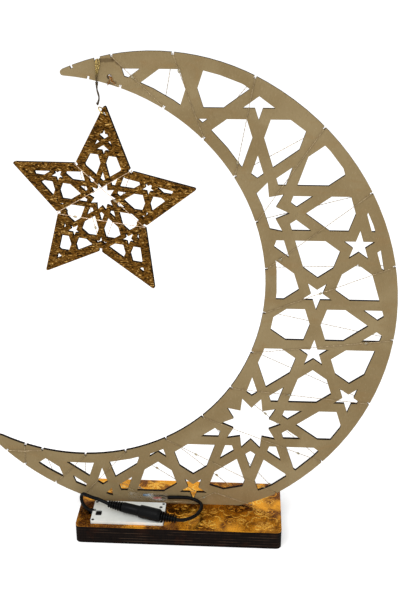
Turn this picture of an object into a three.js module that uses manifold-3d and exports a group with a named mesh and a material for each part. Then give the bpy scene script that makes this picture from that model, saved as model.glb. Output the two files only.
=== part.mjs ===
// A crescent moon centrepiece: a pierced wooden crescent that stands in a stacked board base, with a
// pierced star hung from its upper horn, strings of fairy lights wound round both, and a two-cell
// battery box let into the base. Millimetres, +Z up. The origin is the middle of the base's underside,
// +X runs to the belly of the crescent, and -Y is the side that the battery box is on.
import * as THREE from "three";
import { mergeVertices } from "three/addons/utils/BufferGeometryUtils.js";
import Module from "manifold-3d";

const wasm = await Module();
wasm.setup();

// Clearance and stock.
const gap = 0.3; // between pieces that are round, turned or bent
const sheet = 3; // thickness of the base's boards and of both pierced sheets
const card = 0.8; // embossed gold card on the base

// Base, of stacked boards.
const baseWidth = 194;
const baseDepth = 77;
const baseCorner = 5;
const boardCount = 6;
const slottedBoards = 3; // boards, from the top, that the crescent's slot goes through

// Crescent. Its frame has its origin at the middle of its lower rosette.
const rosetteRadius = 33.5;
const rosetteX = 66.3;
const crescentY = 3; // middle of the sheet
const outerRim = {
  belly: 124.9, // its furthest point to the right
  z: 112.7,
  radius: 231.3,
  high: 60.8, // angles at which the middle arc runs into the arcs of the horns
  low: -54.4,
  highRadius: 187.2,
  lowRadius: 218.7,
};
const outerTurn = { radius: 59, low: -63.6 }; // the tighter bend where the belly runs into the foot
const innerRim = {
  belly: 9.4,
  z: 137.8,
  radius: 185.6,
  high: 22.2,
  low: -30.2,
  highRadius: 178.7,
  lowRadius: 167.5,
};
const footCut = 1; // height of the round foot that is cut off flat, to stand on the slot's floor
const slotEnd = 1; // room in the slot at each end of the foot
const upperTip = 2.6;
const lowerTip = 4.7;
const rimBorder = 10; // solid edge between a rim and the pierced field
const hornEnd = { x: -109, z: 322.3, lean: 17 }; // where the pierced field of the upper horn ends
// The foot is left whole under this line, from the rosette's middle.
const footLine = [[-150, -87.4], [-38.5, -87.4], [-38.3, -70], [-25, -74.4], [-6.6, -70.2], [0, -68.7]];
const strapShare = 0.267; // width of the pattern's straps, against the rosette radius
const roseTip = 0.834; // tips and valleys of a rosette's star opening, against the same radius
const roseValley = 0.512;
const leastOpening = 12; // mm2, a smaller scrap of the pattern is left solid
const notchWidth = 1.9;
const notchDepth = 2.4;
const hornHole = { x: -119.6, z: 318.1, radius: 1.5 };
const outlineStep = 3.2; // degrees between the points of an arc

// Star. Its frame has its origin at the middle of the star.
const starRadius = 86;
const starWaist = 41.4; // radius of the inner corners
const starTip = 1.2; // rounding of the points
const starYaw = -11.2;
const starLean = 4.2;
const starRosette = 15.3;
const starRosetteUp = 7.5;
const starBorder = 7.4;
const leastStarOpening = 2; // mm2
const starHole = { radius: 1.4, down: 8 };
const starNotchWidth = 3;
const ringRadius = 3.6;
const ringWire = 0.5;

// Hanging thread.
const threadRadius = 0.8;
const threadLength = 15; // between the two knots
const knotRadius = 1.7;
const loopWidth = 1.2;
const loopThickness = 0.9;
const loopAngle = 96.35; // where the loop goes over the outer rim, at the left of a wide notch
const loopCut = { angle: 95.92, width: 5.1 };

// Fairy light strings.
const wireRadius = 0.4;
const beadStep = 100;
const beadLength = 3.2;
const beadWidth = 1.9;
const crossingLift = 1.3;

// Battery box, for two AA cells.
const boxLength = 69;
const boxDepth = 31.5;
const boxHeight = 18.8;
const boxX = -48.5;
const boxY = -18.2;
const boxCorner = 1.5;
const boxWall = 1.3;
const floorThickness = 1.5;
const lidThickness = 1.5;
const pocketGap = 0.4;
const nookLength = 4.5; // of the pocket beyond the box, round the cable
const nookWidth = 6.4;
const cableAside = 1.3; // of the cable's exit from the middle of the box
const latchHole = { x: -18.3, y: -9.9, size: 2.6 };
const switchBay = 10;
const cellRadius = 7.1;
const cellLength = 49.3;
const cellPitch = 14.4;
const capRadius = 2.6;
const capLength = 1.2;
const contactThickness = 0.4;
const plateHeight = 12;
const plateWidth = 10;
const springWire = 0.25;
const springRadius = 3;
const springTurns = 2.5;
const screwInset = 2.1;
const screwHead = 1.2;
const screwHeadHeight = 0.7;
const screwShank = 0.6;
const screwLength = 5;
const screwPost = 3.4;
const screwTaper = 3.5; // from the head to where the point begins
const switchDepth = 10.6;
const switchHeight = 5;
const sliderSize = 5;
const sliderTravel = 2;
const sliderStand = 0.6; // above the lid
const sliderY = -22.4;

// Cables and the inline connector. The connector's frame has its origin where its two halves meet.
const cableRadius = 1.7;
const connectorX = -36.5;
const connectorY = -25.4;
const connectorTurn = -17.3;
const plugRadius = 4.9;
const plugLength = 18;
const socketRadius = 6.1;
const socketLength = 21.6;
const shoulderLength = 2.5; // of the socket, down to the thickness of its strain relief
const reliefLength = 15;
const reliefRibs = 6;
const reliefRoot = 2.1;
const reliefTip = 3.4; // radius of the smallest rib
const barrelRadius = 2.75;
const barrelLength = 9;
const seatDepth = 2; // of the barrel and of the pin in their mouldings
const pinRadius = 0.9;
const pinStart = 2; // how far the pin stops short of the socket's mouth
const grommetRadius = 2.6;
const grommetLength = 1.8;
const leadRadius = 0.45;
const sleeveRadius = 1.2;
const sleeveLength = 8;
const redSleeve = { x: -22.7, z: 25.1 };
const blueSleeve = { x: -32.7, z: 28.3 };
const tape = { left: -51, right: -12.8, low: 22.4, high: 31, thickness: 0.25, slope: 6 };

// Heights and places that follow from the sizes.
const boardTop = boardCount * sheet;
const baseTop = boardTop + card;
const slotFloor = (boardCount - slottedBoards) * sheet;
const panelNear = crescentY - sheet / 2;
const panelFar = crescentY + sheet / 2;
const foot = arcsOf(outerRim)[0];
const crescentZ = slotFloor - footCut + foot.radius - foot.centre.y;
const boxLeft = boxX - boxLength / 2;
const boxRight = boxX + boxLength / 2;
const boxFront = boxY - boxDepth / 2;
const boxBack = boxY + boxDepth / 2;
const boxTop = sheet + boxHeight;
const cableExitY = boxY + cableAside;
const connectorZ = boxTop + gap + socketRadius;
const wireNear = panelNear - gap - wireRadius;
const wireFar = panelFar + gap + wireRadius;

// Materials.
function finish(colour, roughness, metalness = 0) {
  return new THREE.MeshStandardMaterial({ color: colour, roughness, metalness });
}
const fibreboard = finish(0x9c8c68, 0.8);
const charredBoard = finish(0x231812, 0.75);
const goldCard = finish(0xc08a24, 0.3, 0.9);
const starGold = finish(0x80591c, 0.4, 0.85);
const goldThread = finish(0xb98a2e, 0.45, 0.6);
const dullWire = finish(0x8a7450, 0.45, 0.7);
const whitePlastic = finish(0xdfe2dc, 0.45);
const blackPlastic = finish(0x17171a, 0.5);
const blackVinyl = finish(0x131315, 0.6);
const giltWire = finish(0xc9a24e, 0.3, 0.9);
const steel = finish(0xb9bcc0, 0.35, 0.9);
const darkSteel = finish(0x3a3a3c, 0.4, 0.8);
const cellWrap = finish(0x2c5f3d, 0.4, 0.2);
const redShrink = finish(0x9c4a3c, 0.55);
const blueShrink = finish(0x4c6a86, 0.55);
const clearFilm = finish(0xd8d8d0, 0.2);

// Solids.
function solidOf(geometry) {
  const bare = geometry.clone();
  bare.deleteAttribute("normal");
  bare.deleteAttribute("uv");
  const merged = mergeVertices(bare, 1e-4);
  const corners = [];
  for (let i = 0; i < merged.index.count; i += 3) {
    const [a, b, c] = [0, 1, 2].map((k) => merged.index.getX(i + k));
    if (a !== b && b !== c && c !== a) corners.push(a, b, c);
  }
  return new wasm.Manifold(
    new wasm.Mesh({
      numProp: 3,
      vertProperties: merged.attributes.position.array,
      triVerts: new Uint32Array(corners),
    }),
  );
}

function named(name, shape, material) {
  const solid = shape.isBufferGeometry ? solidOf(shape) : shape;
  const { vertProperties, triVerts } = solid.getMesh();
  const geometry = new THREE.BufferGeometry();
  geometry.setAttribute("position", new THREE.BufferAttribute(new Float32Array(vertProperties), 3));
  geometry.setIndex(new THREE.BufferAttribute(new Uint32Array(triVerts), 1));
  geometry.computeVertexNormals();
  const mesh = new THREE.Mesh(geometry, material);
  mesh.name = name;
  return mesh;
}

function joined(solids) {
  return solids.reduce((sum, solid) => sum.add(solid));
}

function ray(degrees, length = 1) {
  const angle = THREE.MathUtils.degToRad(degrees);
  return new THREE.Vector2(Math.cos(angle), Math.sin(angle)).multiplyScalar(length);
}

function around(centre, degrees, length) {
  return ray(degrees, length).add(centre);
}

function block(x0, y0, z0, x1, y1, z1) {
  const box = new THREE.BoxGeometry(x1 - x0, y1 - y0, z1 - z0);
  return solidOf(box.translate((x0 + x1) / 2, (y0 + y1) / 2, (z0 + z1) / 2));
}

// An outline in x and z, made thick from one y to another.
function upright(outline, yNear, yFar) {
  const shape = new THREE.Shape(outline);
  const geometry = new THREE.ExtrudeGeometry(shape, { depth: yFar - yNear, bevelEnabled: false });
  return solidOf(geometry.rotateX(Math.PI / 2).translate(0, yFar, 0));
}

// An outline in x and y, made thick from one z to another.
function flat(shape, zLow, zHigh) {
  const depth = zHigh - zLow;
  const geometry = new THREE.ExtrudeGeometry(shape, { depth, bevelEnabled: false, curveSegments: 3 });
  return solidOf(geometry.translate(0, 0, zLow));
}

function polygon(corners) {
  return new THREE.Path(corners.map((corner) => new THREE.Vector2(...corner)));
}

function rectangle(x0, y0, x1, y1) {
  return polygon([[x0, y0], [x1, y0], [x1, y1], [x0, y1]]);
}

function roundedRectangle(x0, y0, x1, y1, corner) {
  const quarter = Math.PI / 2;
  const outline = new THREE.Shape();
  outline.moveTo(x0 + corner, y0);
  outline.lineTo(x1 - corner, y0);
  outline.absarc(x1 - corner, y0 + corner, corner, -quarter, 0);
  outline.lineTo(x1, y1 - corner);
  outline.absarc(x1 - corner, y1 - corner, corner, 0, quarter);
  outline.lineTo(x0 + corner, y1);
  outline.absarc(x0 + corner, y1 - corner, corner, quarter, 2 * quarter);
  outline.lineTo(x0, y0 + corner);
  outline.absarc(x0 + corner, y0 + corner, corner, 2 * quarter, 3 * quarter);
  return outline;
}

// A turned piece along +X, from a profile of [distance along the axis, radius].
function turned(profile, segments = 14) {
  const points = profile.map(([along, radius]) => new THREE.Vector2(radius, along));
  return new THREE.LatheGeometry(points, segments).rotateZ(-Math.PI / 2);
}

function rod(from, to, radius, segments = 16) {
  return turned([[from, 0], [from, radius], [to, radius], [to, 0]], segments);
}

function post(x, y, zLow, zHigh, radius, segments = 8) {
  return solidOf(rod(zLow, zHigh, radius, segments).rotateY(-Math.PI / 2).translate(x, y, 0));
}

// A path that turns at its points and runs straight between them.
class Polyline extends THREE.Curve {
  constructor(points) {
    super();
    this.points = points;
  }

  getPointAt(t) {
    return this.points[Math.round(t * (this.points.length - 1))].clone();
  }

  getSpacedPoints() {
    return this.points.map((point) => point.clone());
  }

  getTangentAt(t) {
    const last = this.points.length - 1;
    const i = Math.round(t * last);
    const tangent = new THREE.Vector3();
    if (i > 0) tangent.add(this.points[i].clone().sub(this.points[i - 1]).normalize());
    if (i < last) tangent.add(this.points[i + 1].clone().sub(this.points[i]).normalize());
    return tangent.normalize();
  }
}

function tubeAlong(path, radius, steps, sides) {
  const section = new THREE.Shape(Array.from({ length: sides }, (_, i) => ray((360 * i) / sides, radius)));
  return new THREE.ExtrudeGeometry(section, { steps, extrudePath: path, bevelEnabled: false });
}

function vectors(list) {
  return list.map((point) => new THREE.Vector3(...point));
}

function bentWire(points, radius, sides = 5) {
  return tubeAlong(new Polyline(points), radius, points.length - 1, sides);
}

function cord(points, radius, steps, sides = 8) {
  const path = new THREE.CatmullRomCurve3(vectors(points), false, "centripetal");
  return tubeAlong(path, radius, steps, sides);
}

// Tenfold pattern. All its lines run at multiples of 36 degrees, and its lengths are multiples of the
// rosette radius, from a rosette's middle to where its petals begin.
const golden = (1 + Math.sqrt(5)) / 2;
const kiteReach = 2 * ray(18).x;
const petalReach = golden * golden;
const columnStep = 2 * petalReach * ray(36).x;
const rowStep = 2 * petalReach * ray(36).y;
const starletTip = 1 / (2 * ray(36).y);
const starletValley = starletTip / petalReach;

function kite(centre, degrees) {
  return [
    around(centre, degrees, ray(36).y / ray(36).x),
    around(centre, degrees - 18, 1),
    around(centre, degrees, kiteReach),
    around(centre, degrees + 18, 1),
  ];
}

function petal(centre, degrees) {
  const right = around(centre, degrees - 18, kiteReach);
  const left = around(centre, degrees + 18, kiteReach);
  const side = ray(degrees, 1 / golden);
  return [
    around(centre, degrees, 1),
    right,
    right.clone().add(side),
    around(centre, degrees, petalReach),
    left.clone().add(side),
    left,
  ];
}

function starlet(centre, degrees) {
  const middle = around(centre, degrees, kiteReach + starletTip);
  const corner = (_, i) => around(middle, degrees + 180 + 36 * i, i % 2 ? starletValley : starletTip);
  return Array.from({ length: 10 }, corner);
}

function dart(centre, degrees) {
  const middle = around(centre, degrees, kiteReach + starletTip);
  return [
    around(centre, degrees, kiteReach),
    around(middle, degrees + 216, starletValley),
    around(centre, degrees - 18, petalReach),
    around(centre, degrees, rowStep),
    around(centre, degrees + 18, petalReach),
    around(middle, degrees + 144, starletValley),
  ];
}

// Corners moved inwards by a distance, for an outline that runs anticlockwise.
function inset(corners, distance) {
  return corners.map((corner, i) => {
    const before = corner.clone().sub(corners.at(i - 1)).normalize();
    const after = corners[(i + 1) % corners.length].clone().sub(corner).normalize();
    const shift = distance / before.cross(after);
    return corner.clone().add(after.sub(before).multiplyScalar(shift));
  });
}

function openingsOf(centre) {
  const cells = [];
  for (let k = 0; k < 10; k++) {
    cells.push(kite(centre, 18 + 36 * k), petal(centre, 36 * k));
    if (k !== 2 && k !== 7) cells.push(starlet(centre, 18 + 36 * k));
  }
  const middle = new THREE.Vector2(0, rowStep).add(centre);
  for (const side of [0, 180]) {
    cells.push(dart(centre, side + 90), petal(around(middle, side + 180, 1), side));
  }
  const openings = cells.map((cell) => inset(cell, strapShare / 2));
  const roseCorner = (_, i) => around(centre, 18 * i, i % 2 ? roseValley : roseTip);
  openings.push(Array.from({ length: 20 }, roseCorner));
  return openings;
}

// The openings of the pattern inside a field, as one upright solid. A neighbour's cells coincide with
// a rosette's own, so each middle is used once.
function piercing(field, radius, x, z, half, least) {
  const used = new Set();
  const pieces = [];
  const { min, max } = field.boundingBox();
  for (let column = -2; column <= 2; column++) {
    for (let row = -3; row <= 3; row++) {
      if ((column + row) % 2) continue;
      for (const opening of openingsOf(new THREE.Vector2(column * columnStep, row * rowStep))) {
        const corners = opening.map((point) => point.multiplyScalar(radius).add({ x, y: z }));
        const bounds = new THREE.Box2().setFromPoints(corners);
        const middle = bounds.getCenter(new THREE.Vector2());
        const key = middle.x.toFixed(0) + " " + middle.y.toFixed(0);
        const beside = bounds.max.x < min[0] || bounds.min.x > max[0];
        const beyond = bounds.max.y < min[2] || bounds.min.y > max[2];
        if (beside || beyond || used.has(key)) continue;
        used.add(key);
        const scraps = upright(corners, -2 * half, 2 * half).intersect(field).decompose();
        pieces.push(...scraps.filter((scrap) => scrap.volume() > least * 4 * half));
      }
    }
  }
  return joined(pieces);
}

// A rim is a chain of arcs, each tangent to the next, and an offset grows them all alike.
function rimMiddle(rim) {
  return new THREE.Vector2(rim.belly - rim.radius, rim.z);
}

function arcsOf(rim, offset = 0) {
  const middle = rimMiddle(rim);
  const arcs = [{ centre: middle, radius: rim.radius, from: rim.low, to: rim.high }];
  const prepend = (radius, from) => {
    const next = arcs[0];
    const centre = around(next.centre, next.from, next.radius - radius);
    arcs.unshift({ centre, radius, from, to: next.from });
  };
  if (rim === outerRim) prepend(outerTurn.radius, outerTurn.low);
  prepend(rim.lowRadius, -180);
  const highCentre = around(middle, rim.high, rim.radius - rim.highRadius);
  arcs.push({ centre: highCentre, radius: rim.highRadius, from: rim.high, to: 180 });
  return arcs.map((arc) => ({ ...arc, radius: arc.radius + offset }));
}

function bearing(point, centre) {
  return THREE.MathUtils.radToDeg(Math.atan2(point.y - centre.y, point.x - centre.x));
}

// The middle of a round tip that lies inside the outer arc and outside the inner one.
function tipBetween(outer, inner, radius, sign) {
  const across = inner.centre.clone().sub(outer.centre);
  const distance = across.length();
  const near = outer.radius - radius;
  const far = inner.radius + radius;
  const along = (near * near - far * far + distance * distance) / (2 * distance);
  const up = new THREE.Vector2(across.y, -across.x).setLength(Math.sqrt(near * near - along * along));
  return across.setLength(along).addScaledVector(up, sign).add(outer.centre);
}

function arcPoints(centre, radius, from, to, step = 30) {
  const count = Math.max(1, Math.ceil(Math.abs(to - from) / step));
  const turn = (to - from) / count;
  return Array.from({ length: count + 1 }, (_, i) => around(centre, from + turn * i, radius));
}

function roundHole(x, z, radius) {
  return upright(arcPoints(new THREE.Vector2(x, z), radius, 0, 330), -sheet, sheet);
}

// The crescent's outline, with a border taken off, from its lower tip up the outer rim and back.
function crescentOutline(border, lowRadius, highRadius, step) {
  const outer = arcsOf(outerRim, -border);
  const inner = arcsOf(innerRim, border).reverse();
  const low = tipBetween(outer[0], inner.at(-1), lowRadius, -1);
  const high = tipBetween(outer.at(-1), inner[0], highRadius, 1);
  outer[0].from = bearing(low, outer[0].centre);
  outer.at(-1).to = bearing(high, outer.at(-1).centre);
  inner.at(-1).from = bearing(low, inner.at(-1).centre);
  inner[0].to = bearing(high, inner[0].centre);
  const points = [
    ...outer.flatMap((arc) => arcPoints(arc.centre, arc.radius, arc.from, arc.to, step)),
    ...arcPoints(high, highRadius, outer.at(-1).to, inner[0].to + 180),
    ...inner.flatMap((arc) => arcPoints(arc.centre, arc.radius, arc.to, arc.from, step)),
    ...arcPoints(low, lowRadius, inner.at(-1).from - 180, outer[0].from),
  ];
  return points.filter((point, i) => point.distanceTo(points.at(i - 1)) > 0.01);
}

// Where a ray from the middle of a rim meets it, moved into the sheet by a depth.
function onRim(rim, degrees, depth = 0) {
  const middle = rimMiddle(rim);
  const direction = ray(degrees);
  for (const arc of arcsOf(rim)) {
    const offset = middle.clone().sub(arc.centre);
    const b = direction.dot(offset);
    const reach = Math.sqrt(b * b - offset.lengthSq() + arc.radius * arc.radius) - b;
    const angle = bearing(middle.clone().addScaledVector(direction, reach), arc.centre);
    if (!(angle >= arc.from && angle <= arc.to)) continue;
    const point = around(arc.centre, angle, arc.radius + (rim === outerRim ? -depth : depth));
    return { point, angle };
  }
}

// The notches that the right-hand string and the left-hand string pass in turn, as angles about each
// rim's middle. The strings cross the near face to one, and the far face to the next.
const rightNotches = [
  [innerRim, -58.4], [outerRim, -55.2], [innerRim, -45.1], [outerRim, -41.2], [innerRim, -32.5],
  [outerRim, -22.4], [innerRim, -19.8], [outerRim, -5.7], [innerRim, -7.3], [outerRim, 11.8],
  [innerRim, 5.5], [outerRim, 29.1], [innerRim, 18.9], [outerRim, 46.2], [innerRim, 32.3],
  [outerRim, 63.5], [innerRim, 44.9], [outerRim, 80.5], [innerRim, 57.5], [outerRim, 92.9],
  [innerRim, 69.4],
];
const leftNotches = [
  [innerRim, -71.5], [outerRim, -105.5], [innerRim, -83.9], [outerRim, -113.7], [innerRim, -97.4],
  [outerRim, -130.1], [innerRim, -102.9], [outerRim, -123.8],
];
const unusedNotches = [[innerRim, 77.6], [outerRim, 101.6]];

// Crescent: pierced, notched at both rims, and cut flat where it stands on the slot's floor.
function notch(centre, angle, width, half) {
  const cut = new THREE.BoxGeometry(2 * notchDepth, 4 * half, width);
  return solidOf(cut.rotateY(-THREE.MathUtils.degToRad(angle)).translate(centre.x, 0, centre.y));
}

function crescentPanel() {
  const half = sheet / 2;
  const reach = 2 * outerRim.radius;
  const beyondEnd = new THREE.BoxGeometry(reach, 4 * sheet, rosetteRadius * 4).translate(-reach / 2, 0, 0);
  beyondEnd.rotateY(-THREE.MathUtils.degToRad(hornEnd.lean)).translate(hornEnd.x, 0, hornEnd.z);
  const below = [[footLine.at(-1)[0], -reach], [footLine[0][0], -reach]];
  const wholeFoot = [...footLine, ...below].map((corner) => new THREE.Vector2(...corner));
  const field = upright(crescentOutline(rimBorder, 1, 1, 2 * outlineStep), -sheet, sheet)
    .subtract(solidOf(beyondEnd))
    .subtract(upright(wholeFoot, -2 * sheet, 2 * sheet));
  const wide = [outerRim, loopCut.angle, loopCut.width];
  const places = [...rightNotches, ...leftNotches, ...unusedNotches, wide];
  const notches = places.map(([rim, degrees, width = notchWidth]) => {
    const { point, angle } = onRim(rim, degrees);
    return notch(point, angle, width, half);
  });
  return upright(crescentOutline(0, lowerTip, upperTip, outlineStep), -half, half)
    .subtract(piercing(field, rosetteRadius, 0, 0, half, leastOpening))
    .subtract(joined(notches))
    .subtract(roundHole(hornHole.x, hornHole.z, hornHole.radius))
    .subtract(block(-reach, -sheet, -reach, reach, sheet, slotFloor - crescentZ));
}

const crescent = new THREE.Group();
crescent.position.set(rosetteX, crescentY, crescentZ);
crescent.add(named("crescent_panel", crescentPanel(), fibreboard));

// Base: boards and a gold card, with a slot for the crescent and a pocket for the battery box.
const footDrop = crescentZ + foot.centre.y - baseTop;
const slotHalf = Math.sqrt(foot.radius * foot.radius - footDrop * footDrop) + slotEnd;
const slotMiddle = rosetteX + foot.centre.x;

function boardOutline(slotted, pocketed) {
  const [halfWidth, halfDepth] = [baseWidth / 2, baseDepth / 2];
  const outline = roundedRectangle(-halfWidth, -halfDepth, halfWidth, halfDepth, baseCorner);
  if (slotted) {
    const [left, right] = [slotMiddle - slotHalf, slotMiddle + slotHalf];
    outline.holes.push(rectangle(left, panelNear - gap, right, panelFar + gap));
  }
  if (pocketed) {
    const [left, right] = [boxLeft - pocketGap, boxRight + pocketGap];
    const [front, back] = [boxFront - pocketGap, boxBack + pocketGap];
    const [nookFront, nookBack] = [cableExitY - nookWidth / 2, cableExitY + nookWidth / 2];
    const nookLeft = boxLeft - nookLength;
    outline.holes.push(polygon([
      [left, front], [right, front], [right, back], [left, back],
      [left, nookBack], [nookLeft, nookBack], [nookLeft, nookFront], [left, nookFront],
    ]));
  }
  return outline;
}

const base = new THREE.Group();
for (let i = 0; i < boardCount; i++) {
  const outline = boardOutline(i >= boardCount - slottedBoards, i > 0);
  base.add(named("base_board_" + (i + 1), flat(outline, i * sheet, (i + 1) * sheet), charredBoard));
}
base.add(named("gold_card", flat(boardOutline(true, true), boardTop, baseTop), goldCard));

// Star: pierced, with a notch in each inner corner and a hole under its top point.
const starHalf = sheet / 2;
const starCorner = (k) => ray(90 + 36 * k, k % 2 ? starWaist : starRadius);
const waistAngles = { upperLeft: 126, lowerLeft: 198, bottom: 270, lowerRight: 342, upperRight: 54 };

function roundedTips(corners, radius) {
  return corners.flatMap((corner, i) => {
    if (i % 2) return [corner];
    const toBefore = corners.at(i - 1).clone().sub(corner).normalize();
    const toAfter = corners[(i + 1) % corners.length].clone().sub(corner).normalize();
    const half = toBefore.angleTo(toAfter) / 2;
    const inwards = toBefore.clone().add(toAfter).normalize();
    const centre = corner.clone().addScaledVector(inwards, radius / Math.sin(half));
    const start = bearing(corner.clone().addScaledVector(toBefore, radius / Math.tan(half)), centre);
    const sweep = 180 - THREE.MathUtils.radToDeg(2 * half);
    return arcPoints(centre, radius, start, start + sweep, 45);
  });
}

function starPanel() {
  const corners = Array.from({ length: 10 }, (_, k) => starCorner(k));
  const field = upright(inset(corners, starBorder), -sheet, sheet);
  const notches = Object.values(waistAngles).map((degrees) => {
    return notch(ray(degrees, starWaist), degrees, starNotchWidth, starHalf);
  });
  return upright(roundedTips(corners, starTip), -starHalf, starHalf)
    .subtract(piercing(field, starRosette, 0, starRosetteUp, starHalf, leastStarOpening))
    .subtract(joined(notches))
    .subtract(roundHole(0, starRadius - starHole.down, starHole.radius));
}

// Hanging: a loop round the horn, a knotted thread, and a ring through the star's hole. The thread's
// lower knot lies over the ring, on the upright line through the star's middle.
const loopNotch = onRim(outerRim, loopAngle, notchDepth);
const hornArc = arcsOf(innerRim).at(-1);
const starX = rosetteX + loopNotch.point.x;
const hornAcross = loopNotch.point.x - hornArc.centre.x;
const hornUnder = crescentZ + hornArc.centre.y + Math.sqrt(hornArc.radius ** 2 - hornAcross ** 2);
const loopInnerTop = crescentZ + loopNotch.point.y + gap;
const loopInnerLow = hornUnder - 2 * gap;
const pivotZ = loopInnerLow - loopThickness - gap - knotRadius;
const lowerKnotZ = pivotZ - threadLength;
const ringTowards = 138; // degrees, from the hole
const ringCentre = around(new THREE.Vector2(0, starRadius - starHole.down), ringTowards, ringRadius - gap);
const ringFar = around(ringCentre, ringTowards, ringRadius);
const ringFarUp = ringFar.clone().rotateAround(new THREE.Vector2(), -THREE.MathUtils.degToRad(starLean));
const starZ = lowerKnotZ - knotRadius - gap - ringWire - ringFarUp.y - gap;

function hornLoop() {
  const near = panelNear - gap;
  const far = panelFar + 2 * (gap + wireRadius) + gap; // a run of the lights passes under it
  const wall = loopThickness;
  const left = starX - loopWidth / 2;
  const outline = roundedRectangle(near - wall, loopInnerLow - wall, far + wall, loopInnerTop + wall, wall);
  const options = { depth: loopWidth, bevelEnabled: false, curveSegments: 3 };
  const band = new THREE.ExtrudeGeometry(outline, options);
  band.rotateX(Math.PI / 2).rotateZ(Math.PI / 2).translate(left, 0, 0);
  const inside = block(left - 1, near, loopInnerLow, left + loopWidth + 1, far, loopInnerTop);
  return solidOf(band).subtract(inside);
}

function hangingThread() {
  const knot = () => new THREE.SphereGeometry(knotRadius, 10, 6);
  const line = rod(lowerKnotZ, pivotZ, threadRadius, 8).rotateY(-Math.PI / 2);
  return solidOf(line)
    .add(solidOf(knot().translate(0, 0, pivotZ)))
    .add(solidOf(knot().translate(0, 0, lowerKnotZ)));
}

const hanging = new THREE.Group();
hanging.add(named("horn_loop", hornLoop(), goldThread));
const thread = named("star_thread", hangingThread(), goldThread);
thread.position.set(starX, crescentY, 0);
hanging.add(thread);

const star = new THREE.Group();
star.position.set(starX, crescentY, starZ);
star.rotation.set(0, THREE.MathUtils.degToRad(starLean), THREE.MathUtils.degToRad(starYaw), "ZYX");
star.add(named("star_panel", starPanel(), starGold));
const ring = new THREE.TorusGeometry(ringRadius, ringWire, 6, 18).rotateX(Math.PI / 2);
ring.rotateX(Math.PI / 2).rotateY(-THREE.MathUtils.degToRad(ringTowards));
ring.translate(ringCentre.x, 0, ringCentre.y);
star.add(named("star_ring", ring, giltWire));

// Fairy lights: bare wire with clear drops that hold the lamps, a drop at each step along it.
function beadsAlong(points, first, awayFrom) {
  const beads = [];
  let next = first;
  let travelled = 0;
  for (let i = 1; i < points.length; i++) {
    const run = points[i].clone().sub(points[i - 1]);
    const length = run.length();
    while (next < travelled + length) {
      const along = next - travelled;
      next += beadStep;
      if (along < 2 * beadLength || along > length - 2 * beadLength) continue;
      const middle = points[i - 1].clone().addScaledVector(run, along / length);
      middle.y += Math.sign(middle.y - awayFrom) * (beadWidth / 2 - wireRadius);
      const drop = new THREE.SphereGeometry(0.5, 6, 4).scale(beadLength, beadWidth, beadWidth);
      const lengthways = new THREE.Vector3(1, 0, 0);
      const turn = new THREE.Quaternion().setFromUnitVectors(lengthways, run.clone().normalize());
      beads.push(solidOf(drop.applyQuaternion(turn).translate(...middle)));
    }
    travelled += length;
  }
  return beads;
}

// The least gap of a wire to itself, measured at every millimetre and past one bend apart.
const bendSpan = 8;

function leastGap(points, radius) {
  const samples = [];
  for (let i = 1; i < points.length; i++) {
    const length = points[i].distanceTo(points[i - 1]);
    const count = Math.max(1, Math.round(length));
    for (let k = 0; k < count; k++) samples.push(points[i - 1].clone().lerp(points[i], k / count));
  }
  let least = Infinity;
  for (let i = 0; i < samples.length; i++) {
    for (const other of samples.slice(i + bendSpan)) least = Math.min(least, samples[i].distanceTo(other));
  }
  return least - 2 * radius;
}

function fairyString(name, points, first, awayFrom) {
  console.log(name + " least gap to itself " + leastGap(points, wireRadius).toFixed(2) + " mm");
  const wire = solidOf(bentWire(points, wireRadius));
  return named(name, joined([wire, ...beadsAlong(points, first, awayFrom)]), dullWire);
}

// The passes of a string through its notches, from the far side first.
function passes(notches) {
  const points = [];
  notches.forEach(([rim, degrees], i) => {
    const { point } = onRim(rim, degrees, notchDepth / 2);
    const sides = i % 2 ? [wireNear, wireFar] : [wireFar, wireNear];
    for (const y of sides) points.push(new THREE.Vector3(rosetteX + point.x, y, crescentZ + point.y));
  });
  return points;
}

// The right-hand string starts at the red sleeve and runs along the foot, under the rim and up.
const wireRise = 1.4; // of its lowest run above the base
const underRim = { x: 69, z: baseTop + wireRise };
const redEnd = redSleeve.x - sleeveLength / 2 - gap;
const rightStart = vectors([
  [redEnd, panelNear - gap - sleeveRadius, redSleeve.z],
  [redEnd - 2, wireNear, redSleeve.z - 0.6],
  [redEnd - 3.5, wireNear, 22],
  [redEnd, wireNear, underRim.z + 0.4],
  [10, wireNear, 21.2],
  [15.5, wireNear, 23.6],
  [32.8, wireNear, 33],
  [61.3, wireNear, 22.6],
  [underRim.x, wireNear, underRim.z],
  [underRim.x, wireFar, underRim.z],
]);
const rightPasses = passes(rightNotches);
const tieX = rosetteX + hornHole.x;
const tieZ = crescentZ + hornHole.z;
const rightTie = vectors([
  [tieX + 1, wireNear, tieZ - 4],
  [tieX, wireNear, tieZ],
  [tieX, wireFar, tieZ],
  [tieX - 3, wireFar, tieZ - 5],
]);
const rightString = [...rightStart, ...rightPasses, ...rightTie];

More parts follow.
